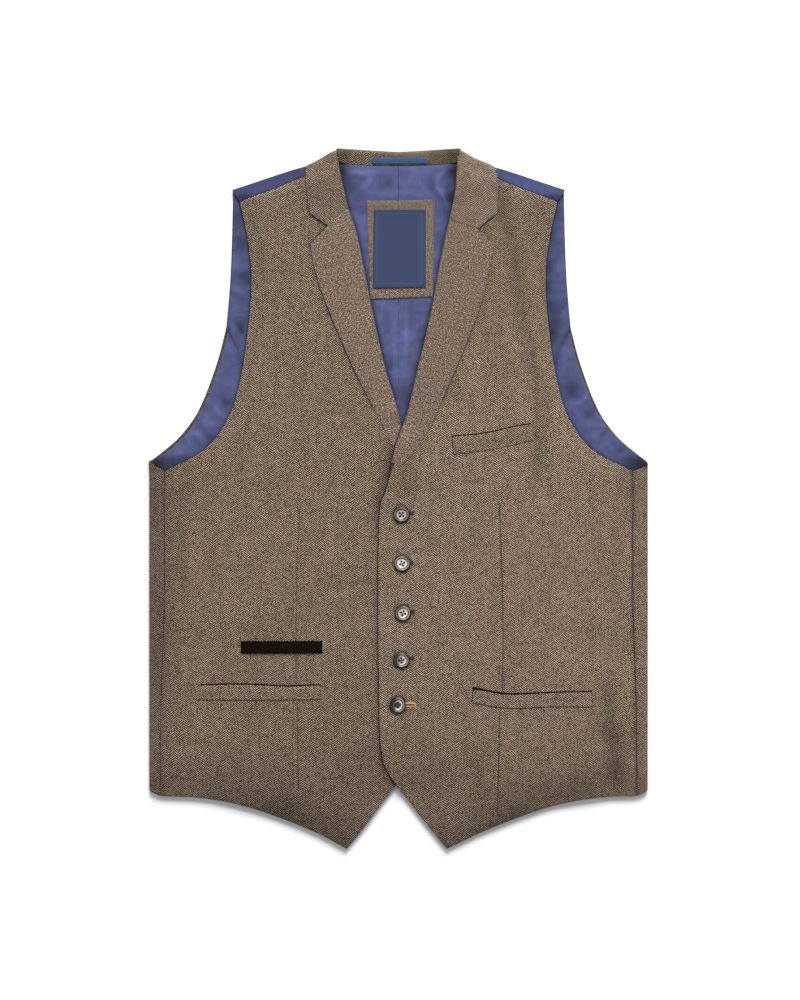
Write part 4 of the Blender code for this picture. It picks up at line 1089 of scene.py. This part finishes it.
def side_back(side):
    """A tweed side-back panel. It turns round the side fold and is seamed to the front on top."""
    edge = smooth([SIDE_BACK_HEM[-1], SIDE_BACK_ARMHOLE[0]])
    outline = cut(SIDE_BACK_HEM, (edge, 0), smooth(SIDE_BACK_ARMHOLE)[1:], smooth(SIDE_BACK_SEAM)[::-1])
    run = run_of(outline, edge)
    edge = outline[run]
    end = even_points([(FOLD_X, place) for place in side.fold_top], len(run))
    seam = even_points(smooth(SIDE_SEAM)[::-1], len(run)) + OUT * side.seam_room
    rows = fold_rows(edge, end, OUT, SIDE_BACK_Z, front_z(*end.T, side))
    rows += ruled_rows(end, seam, front_z, 4, side)
    panel(
        "side_back", side, outline, HIDDEN, SIDE_BACK_Z, TWEED, FRONT_TWEED, "tweed", ["floor"],
        strips=[(run, rows, OUT)], tone=side_painted_shade,
    )


def lining(name, side, outline, under):
    """A lining, its points finer along a front's armhole, where it is shaded."""
    panel(
        name, side, outline, SHOWN, lining_z, LINING, LINING_BLUE, "lining", [under], tone=lining_painted_shade,
        guides=beside(FRONT_ARMHOLE, EDGE, ARMHOLE_GUIDES),
    )


def lining_back(side):
    """A half of the back's lining, with its centre seam. It stops inside the back's free edges."""
    shoulder = smooth(SHOULDER_FOLD)
    edge = shoulder + curve_normals(shoulder) * (SHOULDER_FOLD_IN + LINING_ROOM)
    lining("lining_back", side, cut(
        (BACK_HEM, LINING_HEM_ROOM), (smooth(SIDE_BACK_SEAM)[1:], 0),
        (smooth(BACK_ARMHOLE[:-1] + [tuple(edge[-1])])[1:], 1.2), (edge[::-1], 0),
        smooth(NECK_SEAM[:-1])[::-1], [(0, NECK_SEAM[0][1]), (0, BACK_HEM[0][1] + LINING_HEM_ROOM)],
    ), "back")


def lining_side(side):
    """The lining of a side-back panel, up to the side fold."""
    armhole = smooth(SIDE_BACK_ARMHOLE)[1:]
    rim = mix(side.low_rim, LINING_RIM, ease(45, 115, armhole[:, 1]))
    top = tuple(SIDE_BACK_ARMHOLE[0] - UP * 2.6)
    lining("lining_side", side, cut(
        (SIDE_BACK_HEM, LINING_HEM_ROOM), (smooth([SIDE_BACK_HEM[-1], top])[1:], -1.2), (armhole, rim),
        (smooth(SIDE_BACK_SEAM)[::-1], 0),
    ), "side_back")


def welt(row):
    """A pocket welt, made from the points of the front that it is sewn on, moved out."""
    count = round(math.dist(row.top[0], row.top[-1]) / WELT_STEP)
    top = even_points(smooth(row.top), count)
    bottom = even_points(smooth(row.bottom), count)
    pile = row.name == "welt_ticket"
    if pile:
        top[:, 1] += TUFT_OUT + TUFTS * noises(top[:, 0], np.full(count, 3), TUFT_WIDE, 1, 0)
    ends = ease(0, WELT_END_POINTS, np.minimum(np.arange(count), np.arange(count)[::-1]))
    rows = [raised(mix(bottom, top, share), 0) for share in np.linspace(0, 1, 9)]
    for level, points in enumerate(rows):
        stand = mix(row.proud, 1, ease(0, 6, level)) * mix(WELT_END, 1, ends)
        points[:, 2] = front_top(*points[:, :2].T, row.side) + mix(-WELT / 2, GAP + WELT / 2, stand)
    sheet = Sheet(rows[0], bottom)
    sheet.add_strip(range(count), rows[1:], UP)
    finish, slot = (VELVET, "velvet") if pile else (FRONT_TWEED, "tweed")
    cloth(row.name, row.side, sheet, WELT, finish, slot, [f"front_{row.side.name}_cloth"])


def neck_piece(name, corners, height, finish, slot, rests_on):
    """A four-sided piece on the lining, on the patch or on the collar's stand."""
    low, high = (even_points(edge, 30) for edge in corners)
    count = max(4, round(math.dist(low[0], high[0]) / 2.2))
    sheet = Sheet(raised(low, height), low)
    sheet.add_strip(range(len(low)), ruled_rows(low, high, height, count), UP)
    cloth(name, LEFT, sheet, LABEL, finish, slot, [rests_on])


def button(name, place, turn, shades):
    """A turned button with a dished face, a rounded rim and four sewing holes."""
    profile = [(r, 0, z) for r, z in BUTTON_PROFILE]
    edges = [(i, i + 1) for i in range(len(profile) - 1)]
    made = placed(f"{name}_horn", mesh_of(f"{name}_horn", profile, edges=edges), HORN)
    spin = made.modifiers.new("turn", "SCREW")
    spin.steps = spin.render_steps = 64
    spin.use_merge_vertices = True
    spin.merge_threshold = 1e-5
    spin.use_smooth_shade = True
    made.location = [value * MM for value in (*place, button_z(place))]
    made.rotation_euler.z = math.radians(turn)
    cutter = placed(f"{name}_pegs", hole_pegs())
    cutter.location = made.location
    cutter.rotation_euler = made.rotation_euler
    holes = made.modifiers.new("holes", "BOOLEAN")
    holes.operation = "DIFFERENCE"
    holes.object = cutter
    bpy.context.view_layer.update()
    done = bpy.data.meshes.new_from_object(made.evaluated_get(bpy.context.evaluated_depsgraph_get()))
    made.modifiers.clear()
    made.data = done
    done.set_sharp_from_angle(angle=math.radians(38))
    # Painted light and shade: each button painted lighter or darker, with painted shade at its left and in
    # its middle, and its holes painted nearly black
    light, left, middle = shades
    spots = np.array([vertex.co for vertex in done.vertices]) / MM
    seen_x = spots[:, 0] * math.cos(math.radians(turn)) - spots[:, 1] * math.sin(math.radians(turn))
    levels = light * (1 - left * ease(*BUTTON_LEFT_X, seen_x))
    levels *= 1 - middle * ease(*BUTTON_MIDDLE_R, np.hypot(*spots[:, :2].T))
    tones = []
    for polygon in done.polygons:
        in_hole = abs(polygon.normal.z) < 0.5 and math.hypot(*polygon.center.xy) < BUTTON_DISH_R * MM
        tones += [BUTTON_HOLE_PAINTED_SHADE if in_hole else levels[vertex] for vertex in polygon.vertices]
    done.attributes.new("tone", "FLOAT", "CORNER").data.foreach_set("value", tones)
    bpy.data.objects.remove(cutter)
    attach(made, "root")
    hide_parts(name)


def button_z(place):
    return float(front_top(*place)[0]) + GAP


def hole_pegs():
    """The mesh of four pegs on a square that a button's holes are cut with."""
    pegs = bmesh.new()
    for quarter in range(4):
        angle = math.radians(45 + 90 * quarter)
        made = bmesh.ops.create_cone(
            pegs, cap_ends=True, segments=20, depth=0.02,
            radius1=BUTTON_HOLE_R * MM, radius2=BUTTON_HOLE_R * MM,
        )
        spot = Vector((math.cos(angle), math.sin(angle), 0)) * BUTTON_HOLE_OUT * MM
        bmesh.ops.translate(pegs, verts=made["verts"], vec=spot)
    mesh = bpy.data.meshes.new("button_pegs")
    pegs.to_mesh(mesh)
    pegs.free()
    return mesh


def button_thread(name, place, turn):
    """The crossed thread in a button's holes, which goes down to the cloth."""
    made = [], []
    low = np.array([*place, button_z(place) + THREAD_LOW])
    for start, high in ((45, 0.75), (135, 1)):
        rise = np.array([0, 0, high])
        ends = []
        for quarter in (start, start + 180):
            angle = math.radians(quarter + turn)
            ends.append(low + np.array([math.cos(angle), math.sin(angle), 0]) * BUTTON_HOLE_OUT)
        a, b = ends
        arch = [a, mix(a, b, 0.25) + rise, mix(a, b, 0.5) + rise * 1.1, mix(a, b, 0.75) + rise, b]
        add_tube(made, arch, BUTTON_THREAD_R)
        for end in ends:
            add_tube(made, [end, end - (0, 0, THREAD_DOWN)], BUTTON_THREAD_R)
    sewn(name, made, RUST_THREAD)


def add_tube(made, path, radius, sides=6):
    """A closed thread with rounded ends along a path of points, of one radius or of one for each point."""
    points, faces = made
    path = np.array(path, float)
    radii = np.broadcast_to(radius, len(path))
    ahead = unit(np.vstack([path[1:], path[-1:]]) - np.vstack([path[:1], path[:-1]]))
    rings = list(zip(path, ahead, radii))
    for end, way in ((0, -1), (-1, 1)):
        spot, along, reach = rings[end]
        cap = [(spot + along * reach * far * way, along, reach * share) for far, share in TUBE_CAP]
        rings = cap[::-1] + rings if way < 0 else rings + cap
    first = len(points)
    last = first + (len(rings) - 1) * sides
    for middle, along, reach in rings:
        aside = np.cross(along, (0, 0, 1) if abs(along[2]) < 0.9 else (1, 0, 0))
        aside /= np.linalg.norm(aside)
        up = np.cross(aside, along)
        for k in range(sides):
            angle = 2 * math.pi * k / sides
            points.append(tuple(middle + (aside * math.cos(angle) + up * math.sin(angle)) * reach))
    for ring in range(first, last, sides):
        for k in range(sides):
            a, b = ring + k, ring + (k + 1) % sides
            faces.append((a, b, b + sides, a + sides))
    faces.append(tuple(range(first, first + sides))[::-1])
    faces.append(tuple(range(last, last + sides)))


def sewn(name, made, finish):
    """A piece of the threads that were added to it."""
    mesh = mesh_of(name, *made)
    mesh.shade_smooth()
    piece = placed(name, mesh, finish)
    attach(piece, "root")


def front_top(x, y, side=LEFT):
    return front_z(np.atleast_1d(x), np.atleast_1d(y), side) + TWEED / 2


def whip(made, start, end, rises):
    """A thread from one plane point to another of a buttonhole, at its rises over the cloth."""
    spots = np.array([start, mix(np.array(start), np.array(end), 0.5), end])
    tops = front_top(*spots[[0, 2]].T)
    add_tube(made, raised(spots, np.array([tops[0], tops.mean(), tops[1]]) + rises), WHIP_R)


def buttonholes():
    """Worked buttonholes: short threads laid across both lips of each slit, a bar at its outer end, and a
    dark tube along each slit, painted as the shadow in it.
    """
    made = {"dark": ([], []), "tan": ([], [])}
    slit_shadows = [], []
    for x0, x1, y0, slit, half, colour in BUTTONHOLES:
        for x in np.arange(x0, x1, WHIP_STEP):
            for way in (-1, 1):
                whip(made[colour], (x, y0 + way * slit), (x, y0 + way * half), LIP_RISES)
        for y in np.arange(y0 - half - 0.3, y0 + half + 0.4, WHIP_STEP):
            whip(made[colour], (x1 + BAR[0], y), (x1 + BAR[1], y), BAR_RISES)
        lay(slit_shadows, even_points([(x0, y0), (x1, y0)], 8), LEFT, 0.2, slit)
    sewn("buttonholes_dark", made["dark"], DARK_THREAD)
    sewn("buttonhole_tan", made["tan"], TAN_THREAD)
    sewn("buttonhole_slits", slit_shadows, SLIT_PAINTED_SHADOW)


def lay(made, line, side, rise, radius):
    """A thread along a line of a front, this far over the cloth."""
    spots = raised(line, front_top(*line.T, side) + rise)
    add_tube(made, spots * (side.way, 1, 1), radius)


def stitch(made, line, side, radius):
    """Uneven short stitches along a line of a front."""
    seam = even_points(smooth(line), round(math.dist(line[0], line[-1]) / STITCH))
    for start, end, spot in zip(seam[:-1], seam[1:], noises(*seam[:-1].T, 1, 1, 2)):
        ends = np.array([start + UP * 0.25 * spot, mix(start, end, 0.5 + 0.3 * spot)])
        lay(made, ends, side, STITCH_RISE, radius)


def pocket_mouths():
    """Dark tubes above the welts, painted as the shadow in the pockets' mouths, and the stitches at the
    welts, in the side seams and in the darts.
    """
    mouth_shadows = [], []
    tacks = [], []
    for row in WELTS:
        if row.mouth:
            top = smooth(row.top)
            wide = row.mouth * varied(*top.T, *MOUTH_WAVES) * np.linspace(1, 1 - row.taper, len(top))
            spots = raised(top + UP * 0.5, front_top(*top.T, row.side) + 0.2)
            add_tube(mouth_shadows, spots * (row.side.way, 1, 1), wide, sides=8)
            if row.side is LEFT:
                low, high = np.array(row.bottom[0]), np.array(row.top[0])
                end = np.array([mix(low, high, share) - OUT * 0.7 for share in (0.05, 0.35, 0.7, 1)])
                lay(tacks, end, LEFT, STITCH_RISE, 0.42)
            stitch(tacks, row.bottom, row.side, row.stitch)
    low, high = WELTS[1].bottom[-1], WELTS[1].top[-1]
    stitch(tacks, [low, tuple(mix(np.array(low), np.array(high), 0.9))], LEFT, 0.36)
    for side in (LEFT, RIGHT):
        stitch(tacks, SIDE_SEAM, side, side.seam_thread)
        for path in side.darts:
            stitch(tacks, path, side, side.dart_thread)
    sewn("pocket_mouths", mouth_shadows, POCKET_PAINTED_SHADOW)
    sewn("stitches", tacks, SEAM_THREAD)


# Finishes

TWILL_PITCH = 2.25
TWILL_SLOPE = 0.81
HERRINGBONE = 4.3
YARN = 1.36
TWILL_SHARE = 0.95
SPECKLES = ((0.8, 1.9), (1.4, 1.7), (2.6, 0.6))
# Steps of the yarns' brightness round the cloth's own colour, in the eye's values
TWEED_STEPS = ((0, -94), (0.3, -43), (0.5, -5), (0.7, 33), (1, 100))
WARMTH = (
    (0.32, (0.9, 0.97, 1.1, 1)), (0.45, (1.09, 0.94, 0.94, 1)), (0.56, (1.05, 1, 0.88, 1)),
    (0.7, (0.94, 1.06, 0.84, 1)),
)
LIGHT_LEVEL = 1.25


class Wire:
    """An output of a node, which sums and products can be made from."""

    def __init__(self, socket):
        self.socket = socket
        self.tree = socket.id_data

    def math(self, operation, *values):
        return put(self.tree, "ShaderNodeMath", dict(enumerate((self, *values))), operation=operation)[0]

    def __add__(self, value):
        return self.math("ADD", value)

    def __sub__(self, value):
        return self.math("SUBTRACT", value)

    def __mul__(self, value):
        return self.math("MULTIPLY", value)

    def __truediv__(self, value):
        return self.math("DIVIDE", value)


def put(tree, kind, inputs=(), **settings):
    """The outputs of a new node with its settings, its values and its links, by socket name or number."""
    node = tree.nodes.new(kind)
    for key, value in settings.items():
        setattr(node, key, value)
    for key, value in dict(inputs).items():
        if isinstance(value, Wire):
            tree.links.new(value.socket, node.inputs[key])
        else:
            node.inputs[key].default_value = value
    return [Wire(output) for output in node.outputs]


def blend(share, a, b, mode="MIX"):
    return put(a.tree, "ShaderNodeMix", {0: share, 6: a, 7: b}, data_type="RGBA", blend_type=mode)[2]


def with_painted_shade(colour):
    """The colour times the lightness that the mesh gives, which is painted light and shade."""
    return blend(1, colour, put(colour.tree, "ShaderNodeAttribute", attribute_name="tone")[2], "MULTIPLY")


def ramp(value, *stops):
    made = put(value.tree, "ShaderNodeValToRGB", {0: value})[0]
    elements = made.socket.node.color_ramp.elements
    while len(elements) < len(stops):
        elements.new(0.5)
    for element, (place, colour) in zip(elements, stops):
        element.position = place
        element.color = colour
    return made


def two_tone(value, colour, *stops):
    """The colour at its share of brightness at each stop of the value."""
    return ramp(value, *((place, (*(c * share for c in colour[:3]), 1)) for place, share in stops))


def lumps(where, size, detail=2, rough=0.5):
    """Smooth noise from 0 to 1 whose lumps are about this size, in the units of the place."""
    values = {"Vector": where, "Scale": 1 / size, "Detail": detail, "Roughness": rough}
    return put(where.tree, "ShaderNodeTexNoise", values)[0]


def ribs(value, pitch):
    """From 0 to 1 and back along the value, once a pitch."""
    return (value / pitch).math("PINGPONG", 0.5) * 2


def cut_place(made, wander=0):
    """The place on the flat cut in millimetres, as a vector and its two numbers, with the weave's wander."""
    where = put(made.node_tree, "ShaderNodeUVMap", uv_map="cut")[0]
    across, along, _ = put(made.node_tree, "ShaderNodeSeparateXYZ", {0: where})
    if wander:
        sway = (lumps(where, 26) - 0.5) * wander
        across, along = across + sway, along + sway
    return where, across, along


def new_finish(name, roughness, **sockets):
    made = bpy.data.materials.new(name)
    made.use_nodes = True
    shader = made.node_tree.nodes["Principled BSDF"]
    shader.inputs["Roughness"].default_value = roughness
    for key, value in sockets.items():
        shader.inputs[key.replace("_", " ")].default_value = value
    return made


def wired(made, colour, height=None, depth=0, strength=1):
    """The finish, with its colour and its height put in."""
    tree = made.node_tree
    shader = tree.nodes["Principled BSDF"]
    tree.links.new(colour.socket, shader.inputs["Base Color"])
    if height:
        values = {"Height": height, "Distance": depth * MM, "Strength": strength}
        bump = put(tree, "ShaderNodeBump", values)[0]
        tree.links.new(bump.socket, shader.inputs["Normal"])
    return made


def rgb(*values):
    """A colour from the eye's 0 to 255 values."""
    linear = [(v / 255 / 12.92) if v <= 10 else ((v / 255 + 0.055) / 1.055) ** 2.4 for v in values]
    return (*linear, 1.0)


def seen(*values):
    """The cloth colour that the lights show as this one, of the eye's 0 to 255 values."""
    return tuple(c / LIGHT_LEVEL for c in rgb(*values)[:3]) + (1.0,)


def tweed(name, brown, twill_share=1, speckle_share=1):
    """Herringbone wool: two yarns in turned twill columns, loose fibres, rare flecks and slow mottling."""
    made = new_finish(name, 0.95, Sheen_Weight=0.04, Sheen_Roughness=0.5, Specular_IOR_Level=0.05)
    tree = made.node_tree
    where, across, along = cut_place(made, wander=3)
    shift = (across / HERRINGBONE).math("FLOOR") * (TWILL_PITCH * 0.5)
    zigzag = across.math("PINGPONG", HERRINGBONE) * TWILL_SLOPE
    line = ribs(along + zigzag + shift, TWILL_PITCH)
    twill = put(tree, "ShaderNodeMapRange", {0: line, 1: 0.2, 2: 0.8}, interpolation_type="SMOOTHSTEP")[0]
    clouds = lumps(where, 7, 3, 0.7)
    patches = put(tree, "ShaderNodeMapRange", {0: clouds, 1: 0.35, 2: 0.65, 3: 0.35, 4: 1.2})[0]
    weave = (twill - 0.5) * patches * (TWILL_SHARE * twill_share) + ribs(across, YARN) * 0.24
    for size, share in SPECKLES:
        weave = weave + (lumps(where, size, 2, 0.7) - 0.5) * (share * speckle_share)
    weave = weave + 0.38
    shades = ((place, seen(*(max(c + step, 2) for c in brown))) for place, step in TWEED_STEPS)
    colour = blend(0.8, ramp(weave, *shades), ramp(lumps(where, 3.2, 1), *WARMTH), "MULTIPLY")
    colour = with_painted_shade(colour)
    cells = put(tree, "ShaderNodeTexVoronoi", {"Vector": where, "Scale": 0.42, "Randomness": 1})
    near = cells[0].math("LESS_THAN", 0.25)
    chosen = put(tree, "ShaderNodeSeparateColor", {0: cells[1]})
    flecks = ((0.982, seen(214, 194, 160)), (0.985, seen(160, 104, 62)), (0.98, seen(84, 92, 104)))
    for channel, (limit, fleck) in zip(chosen, flecks):
        colour = blend(near * channel.math("GREATER_THAN", limit) * 0.5, colour, fleck)
    return wired(made, colour, weave, 0.3, 0.6)


def satin(name, blue, roughness, streak, sheen):
    """Smooth blue lining cloth: fine rows of weave, faint streaks and a soft gloss."""
    made = new_finish(name, roughness, Sheen_Weight=sheen, Sheen_Roughness=0.35, Specular_IOR_Level=0.22)
    where, across, along = cut_place(made)
    stretched = put(made.node_tree, "ShaderNodeCombineXYZ", {0: across, 1: along * 0.12})[0]
    streaks = lumps(stretched, 1.6, 3, 0.6)
    value = streaks * streak + lumps(where, 24) * 0.5
    colour = with_painted_shade(two_tone(value, blue, (0.15, 0.78), (0.75, 1.22)))
    return wired(made, colour, ribs(along, 0.7) + streaks * 2, 0.05, 0.5)


def velvet(name):
    """Deep brown-black pile: bright only at a glancing angle, with uneven tufts."""
    made = new_finish(
        name, 1, Sheen_Weight=0.12, Sheen_Roughness=0.4, Sheen_Tint=rgb(110, 78, 62), Specular_IOR_Level=0.05
    )
    where, across, _ = cut_place(made)
    tufts = lumps(where, 1.5, 3, 0.75)
    value = tufts + (across / 2.6).math("PINGPONG", 0.5) * 0.2
    colour = ramp(value, (0.4, rgb(5, 3, 2)), (0.6, rgb(20, 12, 9)), (0.78, rgb(58, 40, 32)))
    return wired(made, colour, tufts, 0.5, 0.7)


def woven_label(name, cloth_colour, edge_colour):
    """A label's close damask weave, left bare of words, with a plain lighter line just inside its edge."""
    made = new_finish(name, 0.8, Sheen_Weight=0.05, Specular_IOR_Level=0.15)
    where, across, along = cut_place(made)
    weave = ribs(along, 0.55) * 0.3 + ribs(across, 0.8) * 0.2 + lumps(where, 0.9, 2, 0.6) * 0.6
    colour = two_tone(weave, cloth_colour, (0.2, 0.7), (0.85, 1.35))
    beyond_x = (across - 0.8).math("ABSOLUTE") - 22.2
    beyond_y = (along - 249.7).math("ABSOLUTE") - 35.2
    line = beyond_x.math("MAXIMUM", beyond_y).math("ABSOLUTE").math("LESS_THAN", 0.45)
    return wired(made, blend(line * 0.55, colour, edge_colour), weave, 0.15, 0.6)


def tape(name, blue):
    """Ribbed blue tape."""
    made = new_finish(name, 0.7, Sheen_Weight=0.05, Specular_IOR_Level=0.2)
    where, across, _ = cut_place(made)
    value = ribs(across, 0.8) * 0.4 + lumps(where, 1.2, 2, 0.6) * 0.7
    return wired(made, two_tone(value, blue, (0.2, 0.65), (0.85, 1.3)), value, 0.2, 0.7)


def horn(name):
    """Polished horn: a dark brown rim that pales to grey in the dish, with darker streaks and a darker ring
    at the dish's edge; its outer wall is nearly black, painted shade.
    """
    made = new_finish(name, 0.3, Coat_Weight=0.25, Coat_Roughness=0.15, Specular_IOR_Level=0.4)
    where = put(made.node_tree, "ShaderNodeTexCoord")[3]
    x, y, _ = put(made.node_tree, "ShaderNodeSeparateXYZ", {0: where})
    out = (x.math("POWER", 2) + y.math("POWER", 2)).math("SQRT")
    fine = lumps(where, 1 / 900)
    place = out * 125 + (lumps(where, 1 / 170, 3) - 0.5) * 0.35
    colour = ramp(
        place, (0, rgb(206, 203, 202)), (0.55, rgb(226, 225, 225)), (0.63, rgb(112, 97, 90)),
        (0.69, rgb(58, 46, 41)), (0.79, rgb(172, 155, 142)), (0.87, rgb(120, 100, 89)),
        (0.93, rgb(26, 19, 16)),
    )
    streaks = ramp(fine, (0.35, rgb(70, 56, 50)), (0.7, rgb(215, 208, 205)))
    return wired(made, with_painted_shade(blend(0.35, colour, streaks, "OVERLAY")), fine, 0.03, 0.3)


def thread(name, *colour):
    made = new_finish(name, 0.8, Specular_IOR_Level=0.1)
    twist = lumps(put(made.node_tree, "ShaderNodeTexCoord")[3], 1 / 1400)
    return wired(made, two_tone(twist, seen(*colour), (0.3, 0.6), (0.7, 1.35)), twist, 0.1, 0.6)


FRONT_TWEED = tweed("tweed_front", (110, 93, 75))
LAPEL_TWEED = tweed("tweed_lapel", (119, 103, 90), 0.4, 0.9)
COLLAR_TWEED = tweed("tweed_collar", (113, 97, 83), 0.7, 0.7)
PATCH_TWEED = tweed("tweed_patch", (115, 99, 82), 0.6)
BACK_SATIN = satin("back_satin", seen(53, 58, 95), 0.7, 0.5, 0)
LINING_BLUE = satin("lining_blue", seen(79, 85, 129), 0.6, 0.6, 0.02)
VELVET = velvet("pile_velvet")
LABEL_NAVY = woven_label("label_weave", seen(58, 70, 100), seen(80, 92, 120))
TAPE_BLUE = tape("tape_blue", seen(62, 92, 132))
HORN = horn("horn_polished")
RUST_THREAD = thread("thread_rust", 112, 62, 38)
DARK_THREAD = thread("thread_dark", 84, 70, 62)
SEAM_THREAD = thread("thread_seam", 70, 56, 46)
TAN_THREAD = thread("thread_tan", 222, 180, 118)
# Dark tubes painted as the shadow in the buttonholes' slits and in the pockets' mouths
SLIT_PAINTED_SHADOW = thread("slit_brown", 84, 50, 28)
POCKET_PAINTED_SHADOW = thread("pocket_dark", 24, 17, 13)

# What lies on the lining, as closed rings in true x
COVERS = [
    np.vstack([ring, ring[:1]])
    for ring in (front_outline(LEFT), front_outline(RIGHT) * (-1, 1), np.array(PATCH[0] + PATCH[1][::-1]))
]

for side in (LEFT, RIGHT):
    for make in (front, lapel, collar_side, back, side_back, lining_back, lining_side):
        make(side)
collar_back()
for row in WELTS:
    welt(row)
neck_piece("label_patch", PATCH, patch_z, PATCH_TWEED, "tweed", "lining_back_left_cloth")
neck_piece("label", LABEL_CORNERS, label_z, LABEL_NAVY, "label_cloth", "label_patch_cloth")
neck_piece("neck_tab", TAB, tab_z, TAPE_BLUE, "tape", "collar_back_cloth")
for index, (place, turn, shades) in enumerate(BUTTONS, start=1):
    button(f"button_{index}", place, turn, shades)
    button_thread(f"button_thread_{index}", place, turn)
buttonholes()
pocket_mouths()


# The stage

paper = new_finish("floor_paper", 0.9)
soft = put(paper.node_tree, "ShaderNodeTexNoise", {"Scale": 40, "Detail": 2})[0]
wired(paper, ramp(soft, (0.3, (0.93, 0.935, 0.94, 1)), (0.7, (0.96, 0.965, 0.97, 1))))
WIDE = 6000
corners = [(-WIDE, -WIDE, 0), (WIDE, -WIDE, 0), (WIDE, WIDE, 0), (-WIDE, WIDE, 0)]
floor = placed("floor", mesh_of("floor", corners, [(0, 1, 2, 3)]), paper)
floor.location.z = -0.0002

view = bpy.data.cameras.new("camera")
view.lens = 108
view.sensor_width = 36
view.clip_end = 20
camera = placed("camera", view)
camera.location = (0.0015, -0.0015, 3.005)
bpy.context.scene.camera = camera

light = bpy.data.lights.new("key", "AREA")
light.shape = "SQUARE"
light.size = 2.8
light.energy = 345
lamp = placed("key", light)
lamp.location = (0.5, 3.8, 3.3)
lamp.rotation_euler = (-lamp.location).to_track_quat("-Z", "Y").to_euler()

world = bpy.data.worlds.new("studio")
world.use_nodes = True
world.node_tree.nodes["Background"].inputs[0].default_value = (0.95, 0.97, 1.0, 1.0)
world.node_tree.nodes["Background"].inputs[1].default_value = 0.45
bpy.context.scene.world = world
bpy.context.scene.view_settings.view_transform = "Standard"
bpy.context.scene.view_settings.look = "None"
